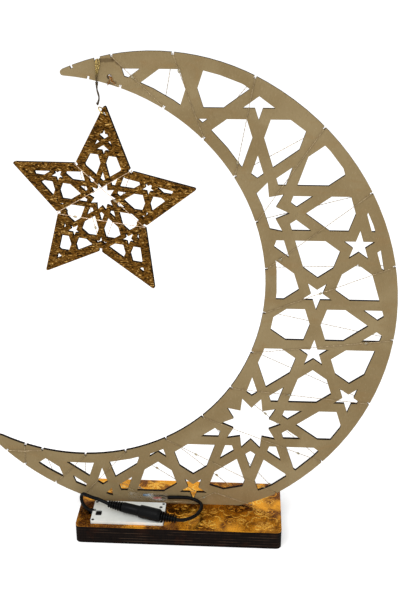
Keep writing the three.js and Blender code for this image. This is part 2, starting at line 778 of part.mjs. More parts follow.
// The left-hand string starts at the blue sleeve and goes through an opening to the far face. Its run
// that crosses another on the near face is lifted over it.
const throughOpening = { x: rosetteX - 3.695 * rosetteRadius, z: crescentZ - 2.196 * rosetteRadius };
const liftedIndex = 4; // the run that leaves this notch of the left-hand string is the lifted one
const blueEnd = blueSleeve.x - sleeveLength / 2 - gap;
const leftStart = vectors([
  [blueEnd, panelNear - gap - sleeveRadius, blueSleeve.z],
  [blueEnd - 3, wireNear, blueSleeve.z + 0.5],
  [-47, wireNear, 33.5],
  [throughOpening.x, wireNear, throughOpening.z],
  [throughOpening.x, wireFar, throughOpening.z],
  [-20, wireFar, 27],
  [14, wireFar, 31],
]);
const leftPasses = passes(leftNotches);
const crossingRun = 2 * liftedIndex + 1;
const crossing = leftPasses[crossingRun].clone().lerp(leftPasses[crossingRun + 1], 0.5);
crossing.y -= crossingLift;
leftPasses.splice(crossingRun + 1, 0, crossing);
const leftEnd = leftPasses.at(-1).clone().add({ x: 6, y: 0, z: 8 });
const leftString = [...leftStart, ...leftPasses, leftEnd];

const lights = new THREE.Group();
lights.add(fairyString("fairy_string_right", rightString, 60, crescentY));
lights.add(fairyString("fairy_string_left", leftString, 45, crescentY));

// The star's string draws a five-pointed figure between its notches, in the star's own frame. Each
// stop gives the side that the wire comes from and the side that it leaves on.
const starLevel = starHalf + gap + wireRadius;
const strandSide = 0.7; // two strands share a notch, side by side
const liftedLevel = -2.4; // where a strand crosses the others, against one that lies on the sheet

function starString() {
  const side = strandSide;
  const stops = [
    ["upperLeft", side, 1, -1],
    ["lowerRight", side, liftedLevel, -1],
    ["lowerRight", -side, -1, -1],
    ["lowerLeft", side, -1, -1],
    ["lowerLeft", -side, -1, -1],
    ["upperRight", 0, -1, 1],
    ["bottom", side, 1, 1],
    ["bottom", -side, 1, 1],
    ["upperLeft", -side, 1, 1],
  ];
  const points = [];
  for (const [corner, offset, from, to] of stops) {
    const degrees = waistAngles[corner];
    const place = ray(degrees, starWaist).add(ray(degrees + 90, offset));
    for (const level of new Set([from, to])) {
      points.push(new THREE.Vector3(place.x, level * starLevel, place.y));
    }
  }
  return points;
}

// Battery box: a case, a lid held by four screws, two cells with their contacts, and a slide switch.
const lidUnder = boxTop - lidThickness;
const cableExitZ = boxTop - cableRadius - 0.1;
const innerLeft = boxLeft + boxWall;
const innerRight = boxRight - boxWall;
const innerFront = boxFront + boxWall;
const innerBack = boxBack - boxWall;
const bayWall = innerLeft + switchBay;
const floorTop = sheet + floorThickness;
const cellZ = floorTop + gap + cellRadius;
const screwPlaces = [-1, 1].flatMap((x) =>
  [-1, 1].map((y) => [boxX + x * (boxLength / 2 - screwInset), boxY + y * (boxDepth / 2 - screwInset)]),
);
const sliderX = innerLeft + switchBay / 2;
const switchTop = lidUnder - gap;
const switchLow = switchTop - switchHeight;

function cableSlot() {
  const reach = cableRadius + gap;
  const [from, to] = [boxLeft - 1, boxLeft + 3];
  const above = block(from, cableExitY - reach, cableExitZ, to, cableExitY + reach, boxTop + 1);
  return solidOf(rod(from, to, reach, 12).translate(0, cableExitY, cableExitZ)).add(above);
}

function batteryCase() {
  const outside = roundedRectangle(boxLeft, boxFront, boxRight, boxBack, boxCorner);
  const switchBayRoom = block(innerLeft, innerFront, floorTop, bayWall, innerBack, boxTop);
  const cellRoom = block(bayWall + boxWall, innerFront, floorTop, innerRight, innerBack, boxTop);
  const posts = screwPlaces.map(([x, y]) => {
    const [left, right] = x < boxX ? [boxLeft, boxLeft + screwPost] : [boxRight - screwPost, boxRight];
    const [front, back] = y < boxY ? [boxFront, boxFront + screwPost] : [boxBack - screwPost, boxBack];
    return flat(roundedRectangle(left, front, right, back, boxCorner), sheet, lidUnder);
  });
  const holeFloor = lidUnder - screwLength - gap;
  const holes = screwPlaces.map(([x, y]) => post(x, y, holeFloor, boxTop, screwShank + gap));
  const [front, back] = [sliderY - switchDepth / 2, sliderY + switchDepth / 2];
  const sunk = 0.1; // of the shelf into the walls and the floor
  const shelf = block(innerLeft - sunk, front, floorTop - sunk, bayWall + sunk, back, switchLow - gap);
  return flat(outside, sheet, lidUnder)
    .subtract(switchBayRoom)
    .subtract(cellRoom)
    .add(joined([...posts, shelf]))
    .subtract(joined(holes))
    .subtract(cableSlot());
}

// The part of the slide switch that moves, and the room that it moves in.
const sliderHalf = sliderSize / 2;
const sliderStem = 1.2; // how far it reaches into the housing

function sliderRoom(low, high) {
  const reach = sliderHalf + gap;
  const back = sliderY + reach + sliderTravel;
  return block(sliderX - reach, sliderY - reach, low, sliderX + reach, back, high);
}

function batteryLid() {
  const outside = roundedRectangle(boxLeft, boxFront, boxRight, boxBack, boxCorner);
  const seats = screwPlaces.flatMap(([x, y]) => [
    post(x, y, boxTop - screwHeadHeight - gap, boxTop + 1, screwHead + gap),
    post(x, y, lidUnder - 1, boxTop, screwShank + gap),
  ]);
  const latchHalf = latchHole.size / 2;
  const latch = roundedRectangle(
    latchHole.x - latchHalf, latchHole.y - latchHalf, latchHole.x + latchHalf, latchHole.y + latchHalf, 0.2,
  );
  return flat(outside, lidUnder, boxTop)
    .subtract(joined(seats))
    .subtract(flat(latch, lidUnder - 1, boxTop + 1))
    .subtract(sliderRoom(lidUnder - 1, boxTop + 1))
    .subtract(cableSlot());
}

function screw() {
  const top = boxTop - 0.1;
  const head = top - screwHeadHeight;
  const profile = [
    [lidUnder - screwLength, 0],
    [head - screwTaper, screwShank],
    [head, screwShank],
    [head, screwHead],
    [top, screwHead],
    [top, 0],
  ];
  return turned(profile, 8);
}

const box = new THREE.Group();
box.add(named("battery_case", batteryCase(), whitePlastic));
box.add(named("battery_lid", batteryLid(), whitePlastic));
screwPlaces.forEach(([x, y], i) => {
  const piece = screw().rotateY(-Math.PI / 2).translate(x, y, 0);
  box.add(named("lid_screw_" + (i + 1), piece, darkSteel));
});

const switchHalf = switchBay / 2 - gap;
function overSwitch(halfX, halfY, low, high) {
  return block(sliderX - halfX, sliderY - halfY, low, sliderX + halfX, sliderY + halfY, high);
}

const housing = overSwitch(switchHalf, switchDepth / 2, switchLow, switchTop);
const housingRoom = sliderRoom(switchTop - sliderStem - gap, switchTop + 1);
const slider = overSwitch(sliderHalf, sliderHalf, switchTop - sliderStem, boxTop + sliderStand);
box.add(named("switch_housing", housing.subtract(housingRoom), blackPlastic));
box.add(named("switch_slider", slider, blackPlastic));

// Each cell has its cap on one contact plate and its base on the spring of the other.
const plateLeft = bayWall + boxWall + gap;
const plateRight = innerRight - gap;
const plateLow = floorTop + gap;
const plateTop = plateLow + plateHeight;

function plate(x0, front, back) {
  return block(x0, front, plateLow, x0 + contactThickness, back, plateTop);
}

function cell() {
  const end = cellLength / 2;
  const body = [[-end, 0], [-end, cellRadius], [end, cellRadius], [end, capRadius]];
  return turned([...body, [end + capLength, capRadius], [end + capLength, 0]], 20);
}

function contactSpring(length) {
  const count = Math.round(springTurns * 8);
  const points = Array.from({ length: count + 1 }, (_, i) => {
    const across = ray((360 * springTurns * i) / count, springRadius);
    const share = i / count;
    return new THREE.Vector3(springWire + share * (length - 2 * springWire), across.x, across.y);
  });
  return bentWire(points, springWire);
}

const cellRun = plateRight - plateLeft - 2 * contactThickness;
const springLength = cellRun - cellLength - capLength - 3 * gap;
[-1, 1].forEach((side, i) => {
  const y = boxY + (side * cellPitch) / 2;
  const capAtRight = side < 0;
  const capX = capAtRight ? plateRight - contactThickness - gap : plateLeft + contactThickness + gap;
  const middle = capX - (capAtRight ? 1 : -1) * (capLength + cellLength / 2);
  const piece = named("battery_cell_" + (i + 1), cell(), cellWrap);
  piece.rotation.z = capAtRight ? 0 : Math.PI;
  piece.position.set(middle, y, cellZ);
  box.add(piece);
  const spring = named("contact_spring_" + (i + 1), contactSpring(springLength), steel);
  const springX = capAtRight ? plateLeft + contactThickness + gap : plateRight - contactThickness - gap;
  spring.rotation.z = capAtRight ? 0 : Math.PI;
  spring.position.set(springX, y, cellZ);
  box.add(spring);
  const terminal = plate(plateLeft, y - plateWidth / 2, y + plateWidth / 2);
  box.add(named("terminal_plate_" + (i + 1), terminal, steel));
});
const bridgeHalf = boxDepth / 2 - screwPost - gap;
const bridge = plate(plateRight - contactThickness, boxY - bridgeHalf, boxY + bridgeHalf);
box.add(named("bridge_plate", bridge, steel));

const grommetBore = cableRadius + gap;
const grommet = turned([
  [0, grommetBore],
  [0, grommetRadius],
  [grommetLength, grommetRadius],
  [grommetLength, grommetBore],
  [0, grommetBore],
], 16);
grommet.translate(boxLeft - gap - grommetLength, cableExitY, cableExitZ);
box.add(named("cable_grommet", grommet, blackVinyl));

// Inline connector: two ribbed mouldings on one axis, with a barrel and a pin.
function relief() {
  const profile = [[0, reliefRoot]];
  const pitch = reliefLength / reliefRibs;
  for (let i = 0; i < reliefRibs; i++) {
    const ribRadius = THREE.MathUtils.lerp(plugRadius, reliefTip, (reliefRibs - i) / reliefRibs);
    const start = i * pitch;
    profile.push([start + 0.04 * pitch, ribRadius], [start + 0.45 * pitch, ribRadius]);
    profile.push([start + 0.5 * pitch, reliefRoot], [start + 0.95 * pitch, reliefRoot]);
  }
  return profile;
}

const connector = new THREE.Group();
connector.position.set(connectorX, connectorY, connectorZ);
connector.rotation.z = THREE.MathUtils.degToRad(connectorTurn);
const barrelBore = barrelRadius + gap;
const pinBore = pinRadius + gap;

const plugEnd = -plugLength - reliefLength;
const seatFloor = -gap - seatDepth;
const plug = turned([
  [plugEnd, 0],
  ...relief().map(([along, radius]) => [plugEnd + along, radius]),
  [-plugLength, plugRadius],
  [-gap, plugRadius],
  [-gap, barrelBore],
  [seatFloor, barrelBore],
  [seatFloor, 0],
]);
connector.add(named("plug_moulding", plug, blackVinyl));
const barrel = turned([
  [-seatDepth, 0],
  [-seatDepth, barrelRadius],
  [barrelLength, barrelRadius],
  [barrelLength, pinBore],
  [gap, pinBore],
  [gap, 0],
], 16);
connector.add(named("plug_barrel", barrel, steel));

const socketEnd = socketLength + reliefLength;
const boreDepth = barrelLength + 1;
const pinEnd = boreDepth + seatDepth;
const socket = turned([
  [pinEnd + gap, 0],
  [pinEnd + gap, pinBore],
  [boreDepth, pinBore],
  [boreDepth, barrelBore],
  [0, barrelBore],
  [0, socketRadius],
  [socketLength - shoulderLength, socketRadius],
  [socketLength, plugRadius],
  ...relief().reverse().map(([along, radius]) => [socketEnd - along, radius]),
  [socketEnd, 0],
]);
connector.add(named("socket_moulding", socket, blackVinyl));
connector.add(named("socket_pin", rod(pinStart, pinEnd, pinRadius, 10), steel));

// Cables. Their points are chosen to follow how they lie.
function connectorPoint(along) {
  const place = ray(connectorTurn, along).add({ x: connectorX, y: connectorY });
  return [place.x, place.y, connectorZ];
}

const cableNear = panelNear - gap - cableRadius;
const jacketEnd = tape.right + 0.8;
const jacketZ = 26.7;
const batteryCable = [
  [boxLeft + boxWall - 0.2, cableExitY, cableExitZ],
  [boxLeft - 1.6, cableExitY, cableExitZ],
  [-87.2, -16.1, 20.8],
  [-90.4, -13.2, 21],
  [-94.1, -8.8, 22.3],
  [-95.7, -6.8, 25.7],
  [-95.3, -6.7, 30.1],
  [-93.1, -8.6, 33.4],
  [-89.5, -11.5, 34.3],
  [-84.2, -12.6, 32.8],
  [-79.6, -11.9, 30.7],
  [-75, -13.1, 29.7],
  connectorPoint(plugEnd - gap),
];
const lightsCable = [
  connectorPoint(socketEnd + gap),
  connectorPoint(socketEnd + 1.8),
  [5.6, -35.6, 27.4],
  [11.2, -31.6, 26.7],
  [16.4, -26.1, 26.2],
  [20.1, -17.4, 25.7],
  [20.9, -10.4, 25.2],
  [18.9, -4.9, 25],
  [14.9, -1.7, 25.4],
  [9.1, cableNear, 26.7],
  [1.3, cableNear, 27.2],
  [-5.4, cableNear, 27.1],
  [jacketEnd, cableNear, jacketZ],
];
const cables = new THREE.Group();
cables.add(named("battery_cable", cord(batteryCable, cableRadius, 22), blackVinyl));
cables.add(named("lights_cable", cord(lightsCable, cableRadius, 30), blackVinyl));

// Leads, sleeves and the film over them.
const leadStart = jacketEnd - gap;
const sleeveY = panelNear - gap - sleeveRadius;

function sleeve(place) {
  return rod(-sleeveLength / 2, sleeveLength / 2, sleeveRadius, 12).translate(place.x, sleeveY, place.z);
}

function leadEnd(place) {
  return [place.x + sleeveLength / 2 + gap, sleeveY, place.z];
}

const redLead = [[leadStart, cableNear, jacketZ - 0.7], [leadStart - 2.5, sleeveY, 25.4], leadEnd(redSleeve)];
const blueLead = [
  [leadStart, cableNear, jacketZ + 0.7],
  [leadStart - 4, sleeveY, 28],
  [leadStart - 9, sleeveY, 28.3],
  leadEnd(blueSleeve),
];
cables.add(named("red_lead", cord(redLead, leadRadius, 4, 6), blackVinyl));
cables.add(named("blue_lead", cord(blueLead, leadRadius, 8, 6), blackVinyl));
cables.add(named("red_sleeve", sleeve(redSleeve), redShrink));
cables.add(named("blue_sleeve", sleeve(blueSleeve), blueShrink));

function clearTape() {
  const outer = sleeveY - sleeveRadius - gap;
  const outline = new THREE.Shape([
    new THREE.Vector2(tape.left, panelNear - gap),
    new THREE.Vector2(tape.left, panelNear - gap - tape.thickness),
    new THREE.Vector2(tape.left + tape.slope, outer - tape.thickness),
    new THREE.Vector2(tape.right, outer - tape.thickness),
    new THREE.Vector2(tape.right, outer),
    new THREE.Vector2(tape.left + tape.slope, outer),
  ]);
  return flat(outline, tape.low, tape.high);
}
cables.add(named("clear_tape", clearTape(), clearFilm));

const starWire = starString();
star.add(fairyString("fairy_string_star", starWire, 50, 0));

const group = new THREE.Group();
group.add(base, crescent, hanging, star, lights, box, connector, cables);

export default group;
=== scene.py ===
"""A crescent moon centrepiece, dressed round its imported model: metres, +Z up, origin under the base.

The bare board side, with the battery box, faces -Y and the camera."""
import math

import bpy
import numpy as np
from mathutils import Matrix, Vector


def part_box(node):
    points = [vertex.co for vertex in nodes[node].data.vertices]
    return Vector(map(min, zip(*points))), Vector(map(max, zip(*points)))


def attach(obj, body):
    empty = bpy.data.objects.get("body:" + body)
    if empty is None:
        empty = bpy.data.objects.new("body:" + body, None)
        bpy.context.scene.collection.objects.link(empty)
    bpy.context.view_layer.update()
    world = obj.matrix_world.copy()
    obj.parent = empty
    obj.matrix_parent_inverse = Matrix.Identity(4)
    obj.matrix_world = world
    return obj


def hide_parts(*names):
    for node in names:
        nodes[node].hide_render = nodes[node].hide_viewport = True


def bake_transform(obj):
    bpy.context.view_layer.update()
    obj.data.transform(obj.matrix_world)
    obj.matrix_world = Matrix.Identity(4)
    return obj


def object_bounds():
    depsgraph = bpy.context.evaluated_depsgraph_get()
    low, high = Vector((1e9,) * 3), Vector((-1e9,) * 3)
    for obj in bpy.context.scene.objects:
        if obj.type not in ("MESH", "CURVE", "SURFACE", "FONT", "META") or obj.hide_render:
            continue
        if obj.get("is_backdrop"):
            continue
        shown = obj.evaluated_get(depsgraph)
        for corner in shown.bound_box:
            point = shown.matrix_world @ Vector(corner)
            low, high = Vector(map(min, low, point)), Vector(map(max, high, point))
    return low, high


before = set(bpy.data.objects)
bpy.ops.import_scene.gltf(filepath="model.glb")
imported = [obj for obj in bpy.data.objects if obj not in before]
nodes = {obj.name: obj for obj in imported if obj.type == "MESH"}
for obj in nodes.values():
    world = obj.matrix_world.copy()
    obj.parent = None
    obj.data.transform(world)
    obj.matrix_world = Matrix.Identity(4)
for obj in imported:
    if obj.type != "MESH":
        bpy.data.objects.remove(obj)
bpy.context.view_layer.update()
MM = 0.001

# Camera. It looks down on the bare side from a little to the right, far enough back that the crescent
# fills the picture from its upper horn to the base.
camera_data = bpy.data.cameras.new("camera")
camera_data.sensor_width = 36
camera_data.lens = 55.64
camera = bpy.data.objects.new("camera", camera_data)
camera.location = (0.05995, -0.7414, 0.5686)
camera.rotation_euler = (math.radians(90 - 24.11), math.radians(0.03), math.radians(3.12))
bpy.context.scene.collection.objects.link(camera)
bpy.context.scene.camera = camera


class Graph:
    """A shader tree that gets its nodes one call at a time. A socket given as a value becomes a link."""

    def __init__(self, tree):
        self.tree = tree

    def fill(self, socket, value):
        if isinstance(value, bpy.types.NodeSocket):
            self.tree.links.new(value, socket)
        else:
            socket.default_value = value

    def add(self, kind, *ordered, setup=(), **named):
        made = self.tree.nodes.new(kind if kind.startswith("NodeGroup") else "ShaderNode" + kind)
        for name, value in dict(setup).items():
            setattr(made, name, value)
        for place, value in enumerate(ordered):
            self.fill(made.inputs[place], value)
        for name, value in named.items():
            self.fill(made.inputs[name.replace("_", " ")], value)
        return made

    def sum(self, operation, *values):
        return self.add("Math", *values, setup={"operation": operation}).outputs[0]

    def mix(self, share, first, second):
        made = self.add("Mix", share, setup={"data_type": "RGBA"})
        self.fill(made.inputs[6], first)
        self.fill(made.inputs[7], second)
        return made.outputs[2]

    def step(self, value, low, high, to_low=0.0, to_high=1.0):
        setup = {"interpolation_type": "SMOOTHSTEP"}
        return self.add("MapRange", value, low, high, to_low, to_high, setup=setup).outputs[0]

    def noise(self, place, scale, detail=4.0, roughness=0.55, distortion=0.0):
        made = self.add("TexNoise", Vector=place, Scale=scale, Detail=detail, Roughness=roughness)
        made.inputs["Distortion"].default_value = distortion
        return made.outputs[0]

    def stretched(self, place, x, y, z):
        return self.add("VectorMath", place, (x, y, z), setup={"operation": "MULTIPLY"}).outputs[0]

    def group(self, tree, **named):
        return self.add("Group", setup={"node_tree": tree}, **named).outputs


def effect(name, inputs, outputs):
    """A shader node group, and its graph with the input sockets by name."""
    tree = bpy.data.node_groups.new(name, "ShaderNodeTree")
    for label, kind in inputs.items():
        tree.interface.new_socket(label, in_out="INPUT", socket_type="NodeSocket" + kind)
    for label, kind in outputs.items():
        tree.interface.new_socket(label, in_out="OUTPUT", socket_type="NodeSocket" + kind)
    graph = Graph(tree)
    return tree, graph, graph.add("NodeGroupInput").outputs


def paint(red, green, blue):
    """A colour from 0 to 255, as the linear colour that a shader takes."""
    share = np.array([red, green, blue]) / 255
    linear = np.where(share <= 0.04045, share / 12.92, ((share + 0.055) / 1.055) ** 2.4)
    return (*linear.tolist(), 1.0)


def fresh(name):
    made = bpy.data.materials.new(name)
    made.use_nodes = True
    made.node_tree.nodes.clear()
    graph = Graph(made.node_tree)
    return made, graph, graph.add("TexCoord").outputs["Object"]


def surface(graph, height, depth, **sockets):
    """The material's shader, with a relief of a real depth in millimetres."""
    bump = graph.add("Bump", Strength=1.0, Distance=depth * MM, Height=height)
    shader = graph.add("BsdfPrincipled", Normal=bump.outputs[0], **sockets)
    graph.add("OutputMaterial", Surface=shader.outputs[0])


def dress(names, material):
    for name in names:
        mesh = nodes[name].data
        mesh.materials.clear()
        mesh.materials.append(material)


# Base boards. Six laser-cut sheets of 3 mm fibreboard are glued in a stack, with a pocket and a slot cut
# through the upper ones. The beam leaves every edge charred nearly black, with fine upright burn lines.
laser_char, char, given = effect(
    "laser_char", {"Place": "Vector"}, {"Color": "Color", "Height": "Float", "Roughness": "Float"}
)
burns = char.noise(char.stretched(given["Place"], 1, 1, 0.06), 1400.0, 3.0)
patches = char.noise(given["Place"], 90.0)
tone = char.mix(char.step(burns, 0.35, 0.7), paint(9, 5, 4), paint(22, 13, 9))
tone = char.mix(char.step(patches, 0.52, 0.75, 0.0, 0.6), tone, paint(44, 23, 14))
char.add("NodeGroupOutput", tone, burns, char.step(patches, 0.3, 0.8, 0.75, 0.95))

BOARD = 3.0
boards = [f"base_board_{i}" for i in range(1, 7)]
board_edge, graph, place = fresh("charred_board_stack")
burnt = graph.group(laser_char, Place=place)
height = graph.add("SeparateXYZ", place).outputs[2]
level = graph.sum("FRACT", graph.sum("DIVIDE", height, BOARD * MM))
joint = graph.sum("ABSOLUTE", graph.sum("SUBTRACT", level, 0.5))
# Painted highlight: a thin lighter line along each board joint, here and there.
wander = graph.noise(graph.stretched(place, 40, 40, 300), 1.0, 2.0)
joint_highlight_paint = graph.sum("MULTIPLY", graph.step(joint, 0.40, 0.47), graph.step(wander, 0.42, 0.62, 0.05, 0.6))
seam = graph.step(joint, 0.475, 0.497)
tone = graph.mix(joint_highlight_paint, burnt["Color"], paint(116, 92, 74))
tone = graph.mix(seam, tone, paint(6, 4, 4))
relief = graph.sum("SUBTRACT", burnt["Height"], graph.sum("MULTIPLY", seam, 2.5))
surface(graph, relief, 0.06, Base_Color=tone, Roughness=burnt["Roughness"], Specular_IOR_Level=0.08)
dress(boards, board_edge)

# Gold card. A mirror-gold card, embossed with rings of petals and scallops, is glued over the top board.
# Its raised lines are pressed from below, so they are gold as well, and they are painted a brighter gold as
# a painted highlight.
CARD_TOP = 18.8
CARD_HALF = (97, 38.5)
CARD_CORNER = 4
RIDGE_WIDTH = 1.25
RIDGE_RISE = 0.22
MEDALLION_STEP = (54, 32)
MEDALLION_SIZE = 1.4
MEDALLION_PETAL = {"count": 8, "out": 4.2, "radius": 2.2}
MEDALLION_SCALLOP = {"count": 10, "out": 9.6, "radius": 3.0}
CURL_AT = (22, 7)

# Cuts through the card for the battery box, its cable and the crescent: left, front, right and back.
CUTS = [
    (-83.4, -34.4, -13.6, -2.0),
    (-87.5, -20.1, -83.4, -13.7),
    (-79.7, 1.2, 58.1, 4.8),
]

# Painted reflection: the foil's colour is blotched deep and bright, with a fine bright speckle, for what
# its mirror gold would reflect.
foil_painted_reflection, foil, given = effect(
    "foil_painted_reflection",
    {"Place": "Vector", "Deep": "Color", "Bright": "Color"},
    {"Color": "Color", "Height": "Float", "Roughness": "Float"},
)
swell = foil.noise(given["Place"], 44.0, 3.0, 0.5, 0.8)
grit = foil.noise(given["Place"], 620.0, 3.0)
share = foil.sum("ADD", foil.step(swell, 0.38, 0.64, 0.0, 0.8), foil.step(grit, 0.5, 0.75, 0.0, 0.4))
foil.add(
    "NodeGroupOutput",
    foil.mix(share, given["Deep"], given["Bright"]),
    foil.sum("ADD", foil.sum("MULTIPLY", swell, 3.0), grit),
    foil.step(grit, 0.3, 0.8, 0.2, 0.42),
)

card_gold, graph, place = fresh("embossed_gold_card")
gilt = graph.group(foil_painted_reflection, Place=place, Deep=paint(104, 56, 6), Bright=paint(246, 168, 40))
surface(graph, gilt["Height"], 0.06, Base_Color=gilt["Color"], Roughness=gilt["Roughness"], Metallic=0.9)
dress(["gold_card"], card_gold)

# Painted highlight: the raised lines get a brighter copy of the card's gold.
ridge_gold_painted_highlight, graph, place = fresh("ridge_gold_painted_highlight")
gilt = graph.group(foil_painted_reflection, Place=place, Deep=paint(206, 134, 30), Bright=paint(255, 206, 92))
surface(graph, gilt["Height"], 0.04, Base_Color=gilt["Color"], Roughness=gilt["Roughness"], Metallic=0.85)


def link(name, shapes, material, body, stands_for=(), crease=40):
    """One piece from (corners, faces) shapes, which rides on a body and stands for CAD nodes."""
    corners, faces = [], []
    for points, sides in shapes:
        faces.extend([tuple(int(i) + len(corners) for i in side) for side in sides])
        corners.extend(map(tuple, np.asarray(points, float)))
    mesh = bpy.data.meshes.new(name)
    mesh.from_pydata(corners, [], faces)
    mesh.materials.append(material)
    mesh.validate()
    mesh.shade_smooth()
    mesh.set_sharp_from_angle(angle=math.radians(crease))
    made = bpy.data.objects.new(name, mesh)
    bpy.context.scene.collection.objects.link(made)
    if body:
        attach(made, body)
    if stands_for:
        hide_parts(*stands_for)
    return made


def bridged(rings, closed=True, ends=True):
    """Faces between rings of points, as (corners, faces)."""
    rings = np.asarray(rings, float)
    count, sides = rings.shape[:2]
    faces = []
    for i in range(count - 1):
        for k in range(sides if closed else sides - 1):
            n = (k + 1) % sides
            faces.append((i * sides + k, i * sides + n, (i + 1) * sides + n, (i + 1) * sides + k))
    if ends:
        faces.append(tuple(range(sides - 1, -1, -1)))
        faces.append(tuple((count - 1) * sides + k for k in range(sides)))
    return rings.reshape(-1, 3), faces


def on_card(x, y):
    """Whether a ridge fits at a place, clear of the card's edge, corners and cuts."""
    margin = RIDGE_WIDTH
    inside = abs(x) < CARD_HALF[0] - margin and abs(y) < CARD_HALF[1] - margin
    corner = abs(x) > CARD_HALF[0] - CARD_CORNER and abs(y) > CARD_HALF[1] - CARD_CORNER
    for left, front, right, back in CUTS:
        inside = inside and not (left - margin < x < right + margin and front - margin < y < back + margin)
    return inside and not corner


def ridge(points):
    """A low rounded ridge along a line on the card, narrower at its ends."""
    line = np.array(points)
    along = np.gradient(line, axis=0)
    along /= np.linalg.norm(along, axis=1)[:, None]
    across = np.stack([-along[:, 1], along[:, 0]], 1)
    taper = np.sin(np.linspace(0.35, math.pi - 0.35, len(line))) ** 0.5
    rings = []
    for sideways, rise in ((-0.5, -0.2), (-0.32, 0.7), (0, 1), (0.32, 0.7), (0.5, -0.2)):
        flat = line + across * (sideways * RIDGE_WIDTH * taper)[:, None]
        rings.append(np.column_stack([flat, CARD_TOP + rise * RIDGE_RISE * taper]))
    return bridged(np.stack(rings, 1) * MM)


def arc(centre, radius, start, sweep, count=9, turn_in=0.0):
    """Points on an arc whose radius shrinks by a share of itself along the way."""
    angles = np.radians(start + np.linspace(0, sweep, count))
    reach = radius * (1 - turn_in * np.linspace(0, 1, count))
    return np.column_stack([centre[0] + reach * np.cos(angles), centre[1] + reach * np.sin(angles)])


def medallion(x, y):
    """A ring of petals round an eye, inside a ring of scallops."""
    lines = [arc((0, 0), 1.3, k * 180, 180) for k in range(2)]
    petal, scallop = MEDALLION_PETAL, MEDALLION_SCALLOP
    for k in range(petal["count"]):
        degrees = 360 / petal["count"] * k
        angle = math.radians(degrees)
        middle = (petal["out"] * math.cos(angle), petal["out"] * math.sin(angle))
        lines.append(arc(middle, petal["radius"], degrees + 200, 140))
        lines.append(arc(middle, petal["radius"], degrees + 20, 140))
    for k in range(scallop["count"]):
        degrees = 360 / scallop["count"] * k
        angle = math.radians(degrees + 18)
        middle = (scallop["out"] * math.cos(angle), scallop["out"] * math.sin(angle))
        lines.append(arc(middle, scallop["radius"], degrees - 72, 180))
    return [np.array([x, y]) + MEDALLION_SIZE * line for line in lines]


def curl(x, y, turn, hand):
    """A scroll that winds inwards, with a short arc outside it."""
    lines = [arc((x, y), 4.0, turn, hand * 420, 26, 0.8)]
    lines.append(arc((x, y), 5.6, turn + hand * 40, hand * 120, 9, 0.1))
    return lines


embossing = []
for column in range(-3, 4):
    for row in range(-2, 3):
        x = column * MEDALLION_STEP[0] + (row % 2) * MEDALLION_STEP[0] / 2
        y = row * MEDALLION_STEP[1]
        embossing.extend(medallion(x, y))
        for side in (-1, 1):
            for hand in (side, -side):
                height = CURL_AT[1] * hand * side
                embossing.extend(curl(x + side * CURL_AT[0], y + height, 90 - side * 90, hand))
embossing = [line for line in embossing if all(on_card(x, y) for x, y in line)]
link("card_embossing", [ridge(line) for line in embossing], ridge_gold_painted_highlight, "stand")

# Crescent. A single pierced sheet of raw fibreboard stands in the base's slot. The side with the lights'
# wires is bare board, every cut edge is charred, and the other side has a film of rippled gold.
PANEL_NEAR = 1.5
PANEL_FAR = 4.5
PANEL_MIDDLE = (PANEL_NEAR + PANEL_FAR) / 2
FACE_SKIN = 0.02
STAR_HALF = 1.5

board_fibre, fibre, given = effect(
    "board_fibre", {"Place": "Vector"}, {"Color": "Color", "Height": "Float", "Roughness": "Float"}
)
cloud = fibre.noise(given["Place"], 14.0, 3.0, 0.5, 1.2)
smoke = fibre.noise(fibre.stretched(given["Place"], 1, 1, 2.6), 26.0, 4.0, 0.6, 1.5)
fleck = fibre.noise(fibre.stretched(given["Place"], 1, 1, 0.45), 900.0, 4.0, 0.65)
tone = fibre.mix(fibre.step(cloud, 0.3, 0.7), paint(133, 114, 80), paint(146, 128, 94))
tone = fibre.mix(fibre.step(smoke, 0.5, 0.78, 0.0, 0.6), tone, paint(138, 112, 74))
tone = fibre.mix(fibre.step(fleck, 0.55, 0.75, 0.0, 0.35), tone, paint(110, 94, 68))
tone = fibre.mix(fibre.step(fleck, 0.45, 0.25, 0.0, 0.3), tone, paint(170, 152, 122))
fibre.add("NodeGroupOutput", tone, fleck, fibre.step(fleck, 0.3, 0.8, 0.62, 0.85))

# Painted reflection: the rippled gold's colour has dark troughs, bright glint lines and darker pools along
# its ripples.
rippled_foil_painted_glints, ripple, given = effect(
    "rippled_foil_painted_glints",
    {"Place": "Vector", "Scale": "Float"},
    {"Color": "Color", "Height": "Float", "Roughness": "Float"},
)
scaled = ripple.add(
    "VectorMath", given["Place"], Scale=given["Scale"], setup={"operation": "SCALE"}
).outputs[0]
waves = ripple.noise(ripple.stretched(scaled, 210, 210, 620), 1.0, 3.0, 0.6, 1.6)
pools = ripple.noise(ripple.stretched(scaled, 70, 70, 110), 1.0, 2.0, 0.5, 0.5)
tone = ripple.mix(ripple.step(waves, 0.40, 0.56), paint(36, 21, 5), paint(122, 82, 28))
tone = ripple.mix(ripple.step(waves, 0.6, 0.66), tone, paint(226, 184, 108))
tone = ripple.mix(ripple.step(pools, 0.5, 0.72, 0.0, 0.55), tone, paint(62, 40, 12))
ripple.add("NodeGroupOutput", tone, waves, ripple.step(waves, 0.3, 0.7, 0.5, 0.28))


